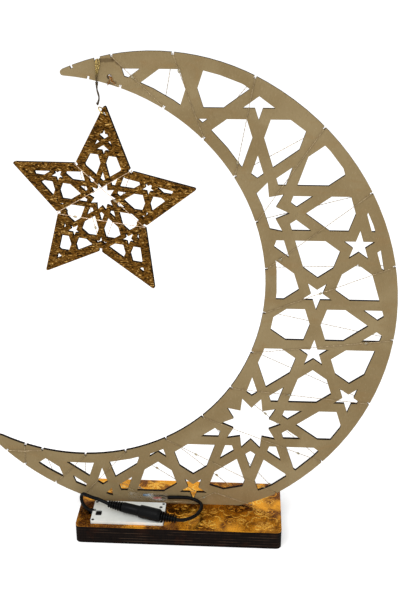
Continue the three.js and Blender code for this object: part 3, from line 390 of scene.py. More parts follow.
def faced_sheet(name, through, near, far, bare_near, ripple_scale, dark_marks=()):
    """A cut sheet: its two faces lie at two depths through it, and what is between them is charred.
    Its near face may be darkened along lines, given as two ends in x and z, a radius and a strength."""
    material, graph, place = fresh(name)
    depth = through(graph, place)
    on_near = graph.sum("LESS_THAN", depth, (near + FACE_SKIN) * MM)
    on_far = graph.sum("GREATER_THAN", depth, (far - FACE_SKIN) * MM)
    burnt = graph.group(laser_char, Place=place)
    gilt = graph.group(rippled_foil_painted_glints, Place=place, Scale=ripple_scale)
    near_look = graph.group(board_fibre, Place=place) if bare_near else gilt
    near_tone = near_look["Color"]
    flattened = graph.stretched(place, 1, 0, 1)
    for start, finish, radius, strength in dark_marks:
        start, finish = (Vector((x * MM, 0, z * MM)) for x, z in (start, finish))
        span = finish - start
        offset = graph.add("VectorMath", flattened, start, setup={"operation": "SUBTRACT"}).outputs[0]
        along = graph.add("VectorMath", offset, span, setup={"operation": "DOT_PRODUCT"}).outputs["Value"]
        share = graph.step(along, 0.0, span.length_squared)
        nearest = graph.add("VectorMath", span, Scale=share, setup={"operation": "SCALE"}).outputs[0]
        away = graph.add("VectorMath", offset, nearest, setup={"operation": "DISTANCE"}).outputs["Value"]
        darkening = graph.step(away, 0.5 * radius * MM, radius * MM, strength, 0.0)
        # Each mark paints the near face darker brown along its line.
        near_tone = graph.mix(darkening, near_tone, paint(52, 34, 14))
    tone = graph.mix(on_near, graph.mix(on_far, burnt["Color"], gilt["Color"]), near_tone)
    gold = on_far if bare_near else graph.sum("MAXIMUM", on_near, on_far)
    shine = graph.sum("ADD", graph.sum("MULTIPLY", gold, gilt["Roughness"]),
                      graph.sum("MULTIPLY", graph.sum("SUBTRACT", 1.0, gold), near_look["Roughness"]
                                if bare_near else burnt["Roughness"]))
    relief = graph.sum("ADD", graph.sum("MULTIPLY", gold, graph.sum("MULTIPLY", gilt["Height"], 4.0)),
                       near_look["Height"] if bare_near else burnt["Height"])
    metal = graph.sum("MULTIPLY", gold, 0.85)
    surface(graph, relief, 0.05, Base_Color=tone, Roughness=shine, Metallic=metal, Specular_IOR_Level=0.05)
    return material


def along_y(graph, place):
    return graph.add("SeparateXYZ", place).outputs[1]


HORN_HOLE = (-53.3, 429.15)
# Each darker brown mark on the horn's near face, a burnt ring round the hole and lines along its edges: its
# two ends in x and z, its radius and its strength.
HORN_DARK_MARKS = [
    ((-53.4, 429.15), (-53.2, 429.15), 2.6, 0.9),
    ((-60.0, 441.8), (-50.4, 442.2), 2.3, 0.5),
    ((-50.4, 442.6), (-43.4, 436.6), 1.2, 0.45),
    ((-54.6, 424.0), (-48.9, 424.4), 1.8, 0.4),
]
crescent_board = faced_sheet("crescent_board", along_y, PANEL_NEAR, PANEL_FAR, True, 0.8, HORN_DARK_MARKS)
dress(["crescent_panel"], crescent_board)

# Star. A smaller pierced sheet, with the same gold film pressed on both sides, hangs by its top point.
# It is turned a little to the left of the crescent's plane.
STAR_MIDDLE = (-63.988, 3.0, 321.661)
STAR_YAW = math.radians(-11.2)
star_normal = (-math.sin(STAR_YAW), math.cos(STAR_YAW), 0.0)


def through_star(graph, place):
    middle = tuple(value * MM for value in STAR_MIDDLE)
    offset = graph.add("VectorMath", place, middle, setup={"operation": "SUBTRACT"}).outputs[0]
    return graph.add("VectorMath", offset, star_normal, setup={"operation": "DOT_PRODUCT"}).outputs["Value"]


dress(["star_panel"], faced_sheet("star_board", through_star, -STAR_HALF, STAR_HALF, False, 1.0))

# Hanging. A loop of gold metallic thread is tied round the horn, in a notch of the outer rim. The thread
# below it, of two twisted strands, ends in a knot over a small gilt ring that goes through the star.
THREAD_X = -63.988
KNOTS = (422.23, 407.23)


def carried(line):
    """The tangent at each point of a line, and two sideways directions that turn as little as they can."""
    along = np.gradient(line, axis=0)
    along /= np.linalg.norm(along, axis=1)[:, None]
    start = np.cross(along[0], (0.0, 0.3, 1.0))
    if np.linalg.norm(start) < 0.3:
        start = np.cross(along[0], (1.0, 0.0, 0.0))
    across = [start / np.linalg.norm(start)]
    for direction in along[1:]:
        side = across[-1] - direction * direction.dot(across[-1])
        across.append(side / np.linalg.norm(side))
    across = np.array(across)
    return along, across, np.cross(along, across)


def tube(line, radii, sides=12):
    """A round piece along a line in millimetres, with a radius for all of it or for each point."""
    line = np.asarray(line, float)
    _, across, up = carried(line)
    radii = np.broadcast_to(np.asarray(radii, float), (len(line),))
    angles = np.linspace(0, 2 * math.pi, sides, endpoint=False)[None, :, None]
    ring = np.cos(angles) * across[:, None] + np.sin(angles) * up[:, None]
    return bridged((line[:, None] + ring * radii[:, None, None]) * MM)


def evenly(points, step):
    """Points about a step apart along straight runs between the given points, which are kept."""
    out = [np.asarray(points[0], float)]
    for before, after in zip(points, points[1:]):
        before, after = np.asarray(before, float), np.asarray(after, float)
        count = max(1, round(np.linalg.norm(after - before) / step))
        out.extend(before + (after - before) * k / count for k in range(1, count + 1))
    return np.array(out)


def smooth(points, each=8):
    """A curve through the points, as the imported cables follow, with a number of steps between them."""
    given = [np.asarray(point, float) for point in points]
    given = [2 * given[0] - given[1], *given, 2 * given[-1] - given[-2]]
    out = []
    for a, b, c, d in zip(given, given[1:], given[2:], given[3:]):
        knot = [0.0]
        for before, after in ((a, b), (b, c), (c, d)):
            knot.append(knot[-1] + max(np.linalg.norm(after - before), 1e-6) ** 0.5)
        for t in np.linspace(knot[1], knot[2], each, endpoint=False):
            def between(p, q, start, end):
                return p * (end - t) / (end - start) + q * (t - start) / (end - start)
            first = between(a, b, knot[0], knot[1])
            second = between(b, c, knot[1], knot[2])
            third = between(c, d, knot[2], knot[3])
            low = between(first, second, knot[0], knot[2])
            high = between(second, third, knot[1], knot[3])
            out.append(between(low, high, knot[1], knot[2]))
    return np.array([*out, given[-2]])


def twisted(line, radius, offset, pitch, strands=2, sides=6):
    """Strands laid round a line, each turning once in a pitch."""
    line = np.asarray(line, float)
    _, across, up = carried(line)
    run = np.concatenate([[0], np.cumsum(np.linalg.norm(np.diff(line, axis=0), axis=1))])
    shapes = []
    for k in range(strands):
        turn = (2 * math.pi * (run / pitch + k / strands))[:, None]
        shapes.append(tube(line + offset * (np.cos(turn) * across + np.sin(turn) * up), radius, sides))
    return shapes


def knot(centre, size, radius):
    """A small overhand knot, drawn tight."""
    turn = np.linspace(0, 2 * math.pi, 49)[:-1]
    x = np.sin(turn) + 1.6 * np.sin(2 * turn)
    z = np.cos(turn) - 1.6 * np.cos(2 * turn)
    line = np.column_stack([x, -1.3 * np.sin(3 * turn), z]) * size / 2.6
    return tube(np.vstack([line, line[:1]]) + np.array(centre), radius, 8)


def thread_material(name, dark, light, tarnish=None):
    """Metallic thread. It may be tarnished below a height, given with the tarnished colour."""
    material, graph, place = fresh(name)
    glitter = graph.noise(place, 1500.0, 2.0)
    tone = graph.mix(graph.step(glitter, 0.42, 0.62), paint(*dark), paint(*light))
    if tarnish:
        height, colour = tarnish
        above = graph.step(graph.add("SeparateXYZ", place).outputs[2], (height - 6) * MM, (height + 3) * MM)
        tone = graph.mix(above, paint(*colour), tone)
    surface(graph, glitter, 0.08, Base_Color=tone, Roughness=0.45, Metallic=0.4)
    return material


thread_gold = thread_material("gold_thread", (128, 100, 40), (226, 200, 124), (434, (74, 58, 24)))
thread_dark = thread_material("tarnished_thread", (40, 30, 12), (84, 66, 32))
thread_brown = thread_material("brown_thread", (92, 56, 18), (176, 124, 58))

loop_low, loop_high = (np.array(corner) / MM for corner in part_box("horn_loop"))
near, far = loop_low[1] + 0.45, loop_high[1] - 0.45
low, high = loop_low[2] + 0.7, loop_high[2] - 0.5
LOOP_SPREAD = (0.2, 1.3, 3.0)
RIM_SLOPE = 0.19
loop_shapes = []
for spread in LOOP_SPREAD:
    low_x, side_x, top_x = (THREAD_X + share * spread for share in (0.1, 0.4, 1.0))
    middle, top = (near + far) / 2, high + spread * RIM_SLOPE
    side = [(low_x, low + 0.8), (side_x, low + 7), (top_x, top - 4), (top_x, top - 0.7)]
    spots = [(low_x, middle, low)]
    spots.extend((x, near, z) for x, z in side)
    spots.append((top_x, middle, top))
    spots.extend((x, far, z) for x, z in reversed(side))
    spots.append((low_x, middle, low))
    loop_shapes.extend(twisted(smooth(spots, 10), 0.3, 0.24, 3.4))
loop_shapes.append(knot((THREAD_X, PANEL_MIDDLE, KNOTS[0] + 1.3), 1.2, 0.36))
link("horn_thread_loop", loop_shapes, thread_gold, "stand", ["horn_loop"])

drop = np.linspace(0, 1, 60)
bend = 0.9 * np.sin(math.pi * drop) - 0.6 * np.sin(2 * math.pi * drop)
depths = PANEL_MIDDLE + 0.25 * np.sin(math.pi * drop)
line = np.column_stack([THREAD_X + bend, depths, KNOTS[0] + drop * (KNOTS[1] - KNOTS[0])])
thread_shapes = twisted(line, 0.58, 0.22, 14.0, sides=8)
thread_shapes.append(knot((THREAD_X, PANEL_MIDDLE, KNOTS[0]), 0.9, 0.45))
thread_shapes.append(knot((THREAD_X, PANEL_MIDDLE, KNOTS[1]), 0.95, 0.45))
link("twisted_star_thread", thread_shapes, thread_dark, "hanging_thread", ["star_thread"])


def on_face(x, z):
    """A place just off the crescent's near face."""
    return (x, PANEL_NEAR - 0.5, z)


# A tie of brown thread goes through the hole in the horn. Its ends hang over the near face.
tie_spots = [
    on_face(-54.9, 422.6), on_face(-53.4, 425.6), on_face(-52.6, 427.6),
    (HORN_HOLE[0], 1.9, HORN_HOLE[1] - 0.3),
    on_face(-51.4, 427.9), on_face(-51.0, 425.8), on_face(-49.2, 423.4),
]
loose_end = [on_face(-52.3, 426.0), on_face(-50.6, 424.9), on_face(-48.9, 423.9)]
tie_shapes = twisted(smooth(tie_spots, 8), 0.36, 0.3, 3.0)
tie_shapes.extend(twisted(smooth(loose_end, 8), 0.34, 0.2, 3.0))
tie_shapes.append(knot((HORN_HOLE[0], 2.1, HORN_HOLE[1]), 0.85, 0.42))
link("horn_tie", tie_shapes, thread_brown, "stand")

# Ring of the star, a gilt wire bent round.
drawn_metal, drawn, given = effect(
    "drawn_metal", {"Place": "Vector"}, {"Height": "Float", "Roughness": "Float"}
)
streaks = drawn.noise(drawn.stretched(given["Place"], 1, 1, 0.2), 2600.0, 3.0)
drawn.add("NodeGroupOutput", streaks, drawn.step(streaks, 0.3, 0.8, 0.22, 0.42))


def metal(name, colour):
    material, graph, place = fresh(name)
    look = graph.group(drawn_metal, Place=place)
    dark = paint(*(0.72 * np.array(colour)))
    shade = graph.mix(graph.step(graph.noise(place, 300.0), 0.35, 0.7), dark, paint(*colour))
    surface(graph, look["Height"], 0.02, Base_Color=shade, Roughness=look["Roughness"], Metallic=1.0)
    return material


dress(["star_ring"], metal("gilt_wire", (222, 190, 120)))

# Fairy lights. Two strands of bare lacquered copper wire are twisted together and wound round the crescent
# through the notches in its rims. Small clear drops hold the lamps, one at each 100 mm.
ROSETTE = np.array([66.3, 111.05])
ROSETTE_RADIUS = 33.5
OUTER = {"belly": 124.9, "z": 112.7, "radius": 231.3, "high": 60.8, "low": -54.4, "above": 187.2,
         "below": [(59.0, -63.6), (218.7, -180.0)]}
INNER = {"belly": 9.4, "z": 137.8, "radius": 185.6, "high": 22.2, "low": -30.2, "above": 178.7,
         "below": [(167.5, -180.0)]}
NOTCH_DEPTH = 2.4
WIRE_NEAR = 0.8
WIRE_FAR = 5.2
WIRE = {"radius": 0.16, "offset": 0.16, "pitch": 6.0, "step": 1.0}
LAMP_STEP = 100
FIRST_LAMP = {"right": 60, "left": 45, "star": 50}
LAMP_SIZE = (1.75, 1.0)


def towards(centre, degrees, length):
    angle = math.radians(degrees)
    return np.asarray(centre) + length * np.array([math.cos(angle), math.sin(angle)])


def rim_arcs(rim):
    middle = np.array([rim["belly"] - rim["radius"], rim["z"]])
    arcs = [(middle, rim["radius"], rim["low"], rim["high"])]
    for radius, start in rim["below"]:
        centre, reach, end, _ = arcs[0]
        arcs.insert(0, (towards(centre, end, reach - radius), radius, start, end))
    above = towards(middle, rim["high"], rim["radius"] - rim["above"])
    return middle, [*arcs, (above, rim["above"], rim["high"], 180.0)]


def notch(rim, degrees):
    """Where a ray from the rim's middle meets it, half a notch's depth into the sheet."""
    middle, arcs = rim_arcs(rim)
    direction = towards((0, 0), degrees, 1)
    inwards = NOTCH_DEPTH / 2 * (-1 if rim is OUTER else 1)
    for centre, radius, start, end in arcs:
        offset = middle - centre
        b = direction.dot(offset)
        inside = b * b - offset.dot(offset) + radius * radius
        if inside < 0:
            continue
        x, z = middle + direction * (math.sqrt(inside) - b) - centre
        angle = math.degrees(math.atan2(z, x))
        if start <= angle <= end:
            return ROSETTE + towards(centre, angle, radius + inwards)


def wound(start, notches):
    points = list(start)
    for i, (rim, degrees) in enumerate(notches):
        x, z = notch(rim, degrees)
        for y in (WIRE_NEAR, WIRE_FAR) if i % 2 else (WIRE_FAR, WIRE_NEAR):
            points.append((x, y, z))
    return points


def lamp_drops(points, first, level):
    """A clear drop at each step along a wire, apart from those that would fall on a bend."""
    drops, travelled, following = [], 0.0, first
    for before, after in zip(points, points[1:]):
        before, after = np.array(before, float), np.array(after, float)
        length = np.linalg.norm(after - before)
        while following < travelled + length:
            along = following - travelled
            following += LAMP_STEP
            if not 6.4 <= along <= length - 6.4:
                continue
            middle = before + (after - before) * along / length
            middle[1] += 0.45 * np.sign(middle[1] - level)
            reach = np.linspace(-1, 1, 11)
            swell = np.sqrt(np.maximum(1 - reach ** 2, 0.03)) * (1 + 0.08 * np.cos(3 * reach))
            line = middle + np.outer(reach * LAMP_SIZE[0], (after - before) / length)
            drops.append(tube(line, LAMP_SIZE[1] * swell, 12))
        travelled += length
    return drops


def wire_material(name, dark, light, metallic):
    material, graph, place = fresh(name)
    look = graph.group(drawn_metal, Place=place)
    tone = graph.mix(graph.step(graph.noise(place, 220.0), 0.35, 0.7), paint(*dark), paint(*light))
    surface(graph, look["Height"], 0.02, Base_Color=tone, Roughness=look["Roughness"], Metallic=metallic)
    return material


dull_wire = wire_material("dull_copper_wire", (142, 120, 86), (190, 168, 130), 0.3)
# Painted highlight: the star's copy of the same wire is painted lighter.
highlight_painted_wire = wire_material("copper_wire_painted_highlight", (206, 166, 126), (246, 222, 190), 0.35)

clear_drop, graph, place = fresh("clear_lamp_drop")
cloudy = graph.noise(place, 700.0, 2.0)
tone = graph.mix(graph.step(cloudy, 0.4, 0.65), paint(206, 194, 158), paint(232, 224, 198))
surface(graph, cloudy, 0.02, Base_Color=tone, Roughness=0.12, Transmission_Weight=0.7, IOR=1.45)


def fairy_string(name, points, first, level, body, stands_for, material, place_point=None):
    drops = lamp_drops(points, first, level)
    line = evenly(points, WIRE["step"])
    if place_point:
        line = place_point(line)
        drops = [(place_point(corners / MM) * MM, faces) for corners, faces in drops]
    wires = twisted(line, WIRE["radius"], WIRE["offset"], WIRE["pitch"], sides=5)
    link(name, wires, material, body, [stands_for])
    link(name + "_lamps", drops, clear_drop, body)


right_start = [
    (-27.0, 0.0, 25.1), (-29.0, WIRE_NEAR, 24.5), (-30.5, WIRE_NEAR, 22.0), (-27.0, WIRE_NEAR, 20.6),
    (10.0, WIRE_NEAR, 21.2), (15.5, WIRE_NEAR, 23.6), (32.8, WIRE_NEAR, 33.0), (61.3, WIRE_NEAR, 22.6),
    (69.0, WIRE_NEAR, 20.2), (69.0, WIRE_FAR, 20.2),
]
right_notches = [
    (INNER, -58.4), (OUTER, -55.2), (INNER, -45.1), (OUTER, -41.2), (INNER, -32.5), (OUTER, -22.4),
    (INNER, -19.8), (OUTER, -5.7), (INNER, -7.3), (OUTER, 11.8), (INNER, 5.5), (OUTER, 29.1),
    (INNER, 18.9), (OUTER, 46.2), (INNER, 32.3), (OUTER, 63.5), (INNER, 44.9), (OUTER, 80.5),
    (INNER, 57.5), (OUTER, 92.9), (INNER, 69.4),
]
right_tie = [
    (HORN_HOLE[0] + 1, WIRE_NEAR, HORN_HOLE[1] - 4), (HORN_HOLE[0], WIRE_NEAR, HORN_HOLE[1]),
    (HORN_HOLE[0], WIRE_FAR, HORN_HOLE[1]), (HORN_HOLE[0] - 3, WIRE_FAR, HORN_HOLE[1] - 5),
]
right_string = [*wound(right_start, right_notches), *right_tie]
fairy_string("fairy_lights_right", right_string, FIRST_LAMP["right"], PANEL_MIDDLE, "stand",
             "fairy_string_right", dull_wire)

OPENING = ROSETTE - ROSETTE_RADIUS * np.array([3.695, 2.196])
LIFTED_NOTCH = 4
LIFT = 1.3
left_start = [(-37.0, 0.0, 28.3), (-40.0, WIRE_NEAR, 28.8), (-47.0, WIRE_NEAR, 33.5),
              (OPENING[0], WIRE_NEAR, OPENING[1]), (OPENING[0], WIRE_FAR, OPENING[1]),
              (-20.0, WIRE_FAR, 27.0), (14.0, WIRE_FAR, 31.0)]
left_notches = [
    (INNER, -71.5), (OUTER, -105.5), (INNER, -83.9), (OUTER, -113.7), (INNER, -97.4), (OUTER, -130.1),
    (INNER, -102.9), (OUTER, -123.8),
]
left_string = wound(left_start, left_notches)
last = left_string[-1]
left_string.append((last[0] + 6, last[1], last[2] + 8))
crossing_at = len(left_start) + 2 * LIFTED_NOTCH + 2
crossing = (np.array(left_string[crossing_at - 1]) + np.array(left_string[crossing_at])) / 2
left_string.insert(crossing_at, crossing - np.array([0.0, LIFT, 0.0]))
fairy_string("fairy_lights_left", left_string, FIRST_LAMP["left"], PANEL_MIDDLE, "stand",
             "fairy_string_left", dull_wire)

# Star's lights. The same wire draws a five-pointed figure between the notches in the star's inner corners.
STAR_LEAN = math.radians(4.2)
STAR_WAIST = 41.4
STAR_LEVEL = 2.2
WAIST = {"upper_left": 126, "lower_left": 198, "bottom": 270, "lower_right": 342, "upper_right": 54}


def on_star(points):
    """Points from the star's own frame, in which it faces forwards and upright, to where it hangs."""
    x, y, z = np.asarray(points, float).T
    leant = np.array([x * math.cos(STAR_LEAN) + z * math.sin(STAR_LEAN), y,
                      z * math.cos(STAR_LEAN) - x * math.sin(STAR_LEAN)])
    turned = np.array([leant[0] * math.cos(STAR_YAW) - leant[1] * math.sin(STAR_YAW),
                       leant[0] * math.sin(STAR_YAW) + leant[1] * math.cos(STAR_YAW), leant[2]])
    return turned.T + np.array(STAR_MIDDLE)


star_stops = [
    ("upper_left", 0.7, (1, -1)), ("lower_right", 0.7, (-2.4, -1)), ("lower_right", -0.7, (-1,)),
    ("lower_left", 0.7, (-1,)), ("lower_left", -0.7, (-1,)), ("upper_right", 0, (-1, 1)),
    ("bottom", 0.7, (1,)), ("bottom", -0.7, (1,)), ("upper_left", -0.7, (1,)),
]
star_points = []
for corner, sideways, levels in star_stops:
    x, z = towards((0, 0), WAIST[corner], STAR_WAIST)
    x, z = towards((x, z), WAIST[corner] + 90, sideways)
    star_points.extend((x, level * STAR_LEVEL, z) for level in levels)
fairy_string("fairy_lights_star", star_points, FIRST_LAMP["star"], 0.0, "star",
             "fairy_string_star", highlight_painted_wire, on_star)

# Battery box. A white moulded case for two cells is let into the base. Its lid is held by four small black
# screws, and the black slide switch stands a little above the lid, near its left end.
moulded_skin, skin, given = effect(
    "moulded_skin",
    {"Place": "Vector", "Scale": "Float"},
    {"Height": "Float", "Shade": "Float", "Roughness": "Float"},
)
orange_peel = skin.add("TexNoise", Vector=given["Place"], Scale=given["Scale"], Detail=3.0).outputs[0]
handled = skin.noise(given["Place"], 55.0, 3.0)
skin.add("NodeGroupOutput", orange_peel, handled, skin.step(handled, 0.3, 0.7, 0.32, 0.5))


def moulded(name, dark, light, scale=1100.0, depth=0.03, gloss=0.4, hole=None):
    """Moulded plastic. Round an upright hole in it, given by its place and radius, a dark disc is painted
    as the shade in the hole.
    """
    material, graph, place = fresh(name)
    look = graph.group(moulded_skin, Place=place, Scale=scale)
    tone = graph.mix(graph.step(look["Shade"], 0.3, 0.7), paint(*dark), paint(*light))
    if hole:
        x, y, radius = hole
        middle = Vector((x * MM, y * MM, 0))
        flattened = graph.stretched(place, 1, 1, 0)
        away = graph.add("VectorMath", flattened, middle, setup={"operation": "DISTANCE"}).outputs["Value"]
        # Painted shade: a dark disc round the hole.
        shade = graph.step(away, 0.8 * radius * MM, radius * MM, 1.0, 0.0)
        tone = graph.mix(shade, tone, paint(14, 14, 15))
    surface(graph, look["Height"], depth, Base_Color=tone, Roughness=look["Roughness"],
            Specular_IOR_Level=gloss)
    return material


LATCH_HOLE_SHADE = (-18.3, -9.9, 1.75)
WHITES = ((226, 228, 222), (238, 240, 235))
white_plastic = moulded("white_moulded_plastic", *WHITES)
black_plastic = moulded("black_moulded_plastic", (10, 10, 11), (18, 18, 19), gloss=0.12)
black_vinyl = moulded("soft_black_vinyl", (6, 6, 7), (11, 11, 12), 800.0, 0.04, 0.08)
lid_plastic_painted_shade = moulded("white_plastic_painted_hole_shade", *WHITES, hole=LATCH_HOLE_SHADE)
dress(["battery_case"], white_plastic)
dress(["battery_lid"], lid_plastic_painted_shade)
dress(["switch_housing", "switch_slider"], black_plastic)
dress(["contact_spring_1", "contact_spring_2", "terminal_plate_1", "terminal_plate_2", "bridge_plate"],
      metal("nickel_contacts", (118, 116, 112)))
dress(["battery_cell_1", "battery_cell_2"], moulded("cell_wrap", (34, 84, 56), (44, 104, 70), 500.0, 0.02))
dress(["cable_grommet"], black_vinyl)

SCREW_PLACES = [(x, y) for x in (-80.9, -16.1) for y in (-31.85, -4.55)]
SCREW_TOP = 21.7
HEAD = 1.35


def revolved(profile, sides=32, axis="x"):
    """A turned shape from pairs of distance along its axis and radius."""
    angles = np.linspace(0, 2 * math.pi, sides, endpoint=False)
    rings = []
    for along, radius in profile:
        u, v = radius * np.cos(angles), radius * np.sin(angles)
        flat = np.full(sides, float(along))
        rings.append(np.column_stack([flat, u, v] if axis == "x" else [u, v, flat]))
    return bridged(np.array(rings))


def screw_head():
    """A pan head with a cross recess, as four raised quarters on a disc."""
    shank = [(-4.6, 0.15), (-3.6, 0.55), (-0.7, 0.55)]
    shapes = [revolved([*shank, (-0.7, HEAD), (-0.3, HEAD), (-0.3, 0.05)], 24, "z")]
    for k in range(4):
        angles = np.radians(90 * k + np.linspace(14, 76, 7))
        rim = [(HEAD * math.cos(a), HEAD * math.sin(a)) for a in angles]
        start = np.radians(90 * k + 45)
        outline = [(0.26 * math.cos(start), 0.26 * math.sin(start)), *rim]
        rings = [[(x * s, y * s, z) for x, y in outline] for z, s in ((-0.35, 1), (-0.08, 1), (0.0, 0.88))]
        shapes.append(bridged(np.array(rings)))
    return shapes


black_steel = metal("blackened_steel", (30, 30, 32))
for i, (x, y) in enumerate(SCREW_PLACES):
    shapes = [((corners + np.array([x, y, SCREW_TOP])) * MM, faces) for corners, faces in screw_head()]
    link(f"pan_head_screw_{i + 1}", shapes, black_steel, "stand", [f"lid_screw_{i + 1}"])

# Inline connector. Two soft black mouldings meet on one line: the plug, with its steel barrel, is on the
# box's cable, and the thicker socket is on the lights' cable. Each has a ribbed strain relief.
CONNECTOR = np.array([-36.5, -25.4, 28.2])
CONNECTOR_TURN = math.radians(-17.3)
PLUG = {"radius": 4.9, "length": 17.7, "bore": 2.0, "shoulder": 0.8}
SOCKET = {"radius": 6.1, "length": 21.6, "bore": 10.0, "shoulder": 2.5}
RELIEF = {"length": 15.0, "ribs": 6, "root": 2.1, "tip": 3.4}
RIB = [(0.06, 0.0), (0.09, 0.75), (0.17, 1.0), (0.4, 1.0), (0.48, 0.75), (0.52, 0.0), (0.9, 0.0)]
BARREL_BORE = 3.05


def on_connector(points):
    x, y, z = np.asarray(points, float).T
    c, s = math.cos(CONNECTOR_TURN), math.sin(CONNECTOR_TURN)
    return (np.column_stack([x * c - y * s, x * s + y * c, z]) + CONNECTOR) * MM


def relief():
    """The ribbed end, from the cable's side, each rib rounded and a little larger than the one before."""
    pitch = RELIEF["length"] / RELIEF["ribs"]
    profile = [(0.0, 1.5), (0.15, RELIEF["root"])]
    for k in range(RELIEF["ribs"]):
        size = RELIEF["tip"] + (PLUG["radius"] - RELIEF["tip"]) * k / RELIEF["ribs"]
        for along, share in RIB:
            profile.append(((k + along) * pitch + 0.1, RELIEF["root"] + share * (size - RELIEF["root"])))
    return profile


def moulding(half):
    """Half of the connector, from the cable's side: ribs, a shoulder that swells, and the body."""
    start, end = RELIEF["length"], RELIEF["length"] + half["length"]
    neck, radius = PLUG["radius"], half["radius"]
    profile = relief()
    shoulder, floor = start + half["shoulder"], end - half["bore"]
    profile += [(start, neck - 0.5), (start + 0.3, neck - 0.1)]
    profile += [(shoulder, radius - 0.12), (shoulder + 0.7, radius)]
    profile += [(end - 0.5, radius), (end - 0.1, radius - 0.15), (end, radius - 0.5)]
    profile += [(end, BARREL_BORE), (floor, BARREL_BORE), (floor, 0.05)]
    return end, profile


end, profile = moulding(PLUG)
corners, faces = revolved([(along - end - 0.3, radius) for along, radius in profile], 40)
plug = (on_connector(corners), faces)
link("plug_body", [plug], black_vinyl, "stand", ["plug_moulding"])
end, profile = moulding(SOCKET)
corners, faces = revolved([(end - along, radius) for along, radius in reversed(profile)], 40)
socket = (on_connector(corners), faces)
link("socket_body", [socket], black_vinyl, "socket", ["socket_moulding"])
dress(["plug_barrel", "socket_pin"], metal("nickel_plate", (206, 206, 204)))

# Cables. Two short black vinyl cables, 3.4 mm thick, make a loop each: one from the box to the plug, and
# one from under the tape, round in front of the crescent, to the socket.
CABLE = 1.7


def connector_point(along):
    return tuple(on_connector([(along, 0, 0)])[0] / MM)


box_route = [
    (-81.9, -16.9, 20.0), (-84.6, -16.9, 20.0), (-87.2, -16.1, 20.8), (-90.4, -13.2, 21.0),
    (-94.1, -8.8, 22.3), (-95.7, -6.8, 25.7), (-95.3, -6.7, 30.1), (-93.1, -8.6, 33.4),
    (-89.5, -11.5, 34.3), (-84.2, -12.6, 32.8), (-79.6, -11.9, 30.7), (-75.0, -13.1, 29.7),
    connector_point(-33.3),
]
lights_route = [
    (-12.0, -0.5, 26.7), (-5.4, -0.5, 27.1), (1.3, -0.5, 27.2), (9.1, -0.5, 26.7), (14.9, -1.7, 25.4),
    (18.9, -4.9, 25.0), (20.9, -10.4, 25.2), (20.1, -17.4, 25.7), (16.4, -26.1, 26.2), (11.2, -31.6, 26.7),
    (5.6, -35.6, 27.4), connector_point(38.4), connector_point(36.9),
]


def measured(line):
    return float(np.linalg.norm(np.diff(line, axis=0), axis=1).sum()) * MM


for name, route, blended in (("box_cable", box_route, False), ("lights_lead_cable", lights_route, True)):
    line = smooth(route, 10)
    cable = link(name, [tube(line, CABLE, 20)], black_vinyl, None if blended else "stand",
                 ["lights_cable" if blended else "battery_cable"])
    if blended:
        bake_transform(cable)
    measured(line)

# Splices. The lights' cable is stripped to two thin leads, each soldered to a string of lights under a
# shrunk sleeve, one red and one blue. Clear tape holds them to the crescent's foot.
SLEEVE_Y = 0.0
RED_SLEEVE = (-22.7, 25.1)
BLUE_SLEEVE = (-32.7, 28.3)
SLEEVE_HALF = 4.0
SHRUNK = [(-1.0, 0.62), (-0.97, 0.85), (-0.8, 1.05), (-0.5, 1.2), (-0.1, 1.12), (0.3, 1.2), (0.7, 1.1),
          (0.95, 0.85), (1.0, 0.6)]
lead_routes = {
    "red_lead_wire": ("red_lead", [(-12.3, -0.5, 26.0), (-14.8, SLEEVE_Y, 25.4), (-18.4, SLEEVE_Y, 25.1)]),
    "blue_lead_wire": ("blue_lead", [(-12.3, -0.5, 27.4), (-16.3, SLEEVE_Y, 28.0), (-21.3, SLEEVE_Y, 28.3),
                                     (-28.4, SLEEVE_Y, 28.3)]),
}
for name, (node, route) in lead_routes.items():
    link(name, [tube(smooth(route, 6), 0.45, 10)], black_vinyl, "stand", [node])
sleeves = {
    "red": (RED_SLEEVE, (138, 58, 46), (168, 84, 68)),
    "blue": (BLUE_SLEEVE, (58, 88, 116), (88, 122, 150)),
}
for name, ((x, z), dark, light) in sleeves.items():
    corners, faces = revolved([(along * SLEEVE_HALF, radius) for along, radius in SHRUNK], 20)
    corners = (corners + np.array([x, SLEEVE_Y, z])) * MM
    link(name + "_shrunk_sleeve", [(corners, faces)], moulded(name + "_shrink", dark, light, 900.0, 0.03),
         "stand", [name + "_sleeve"])

TAPE = {"left": -51.0, "right": -12.8, "low": 22.4, "high": 31.0, "rise": 6.0}
TAPE_STUCK = 1.15
TAPE_PROUD = -1.55
COLUMNS, ROWS = 96, 24
across = np.linspace(TAPE["left"], TAPE["right"], COLUMNS)
upward = np.linspace(TAPE["low"], TAPE["high"], ROWS)
grid = []
for thickness in (0.0, 0.12):
    rows = []
    for z in upward:
        share = np.clip((across - TAPE["left"]) / TAPE["rise"], 0, 1)
        lift = TAPE_STUCK + (TAPE_PROUD - TAPE_STUCK) * share * share * (3 - 2 * share)
        edge = math.sin(math.pi * (z - TAPE["low"]) / (TAPE["high"] - TAPE["low"])) ** 0.35
        crease = 0.12 * np.sin(across * 1.9 + z * 0.8) + 0.09 * np.sin(across * 0.7 - z * 1.7)
        y = TAPE_STUCK + (lift - TAPE_STUCK) * (0.55 + 0.45 * edge) + crease * share
        ragged = 0.25 * math.sin(z * 2.3)
        x = across + ragged * (across - TAPE["left"]) / 38
        rows.append(np.column_stack([x, y - thickness, np.full(COLUMNS, z)]))
    grid.append(np.array(rows))
sheets = [bridged(rows * MM, closed=False, ends=False) for rows in grid]
outline = [(r, 0) for r in range(ROWS)] + [(ROWS - 1, c) for c in range(COLUMNS)]
outline += [(r, COLUMNS - 1) for r in reversed(range(ROWS))] + [(0, c) for c in reversed(range(COLUMNS))]
rim_rings = [[rows[r][c] * MM for r, c in outline] for rows in grid]
sheets.append(bridged(np.array(rim_rings), ends=False))
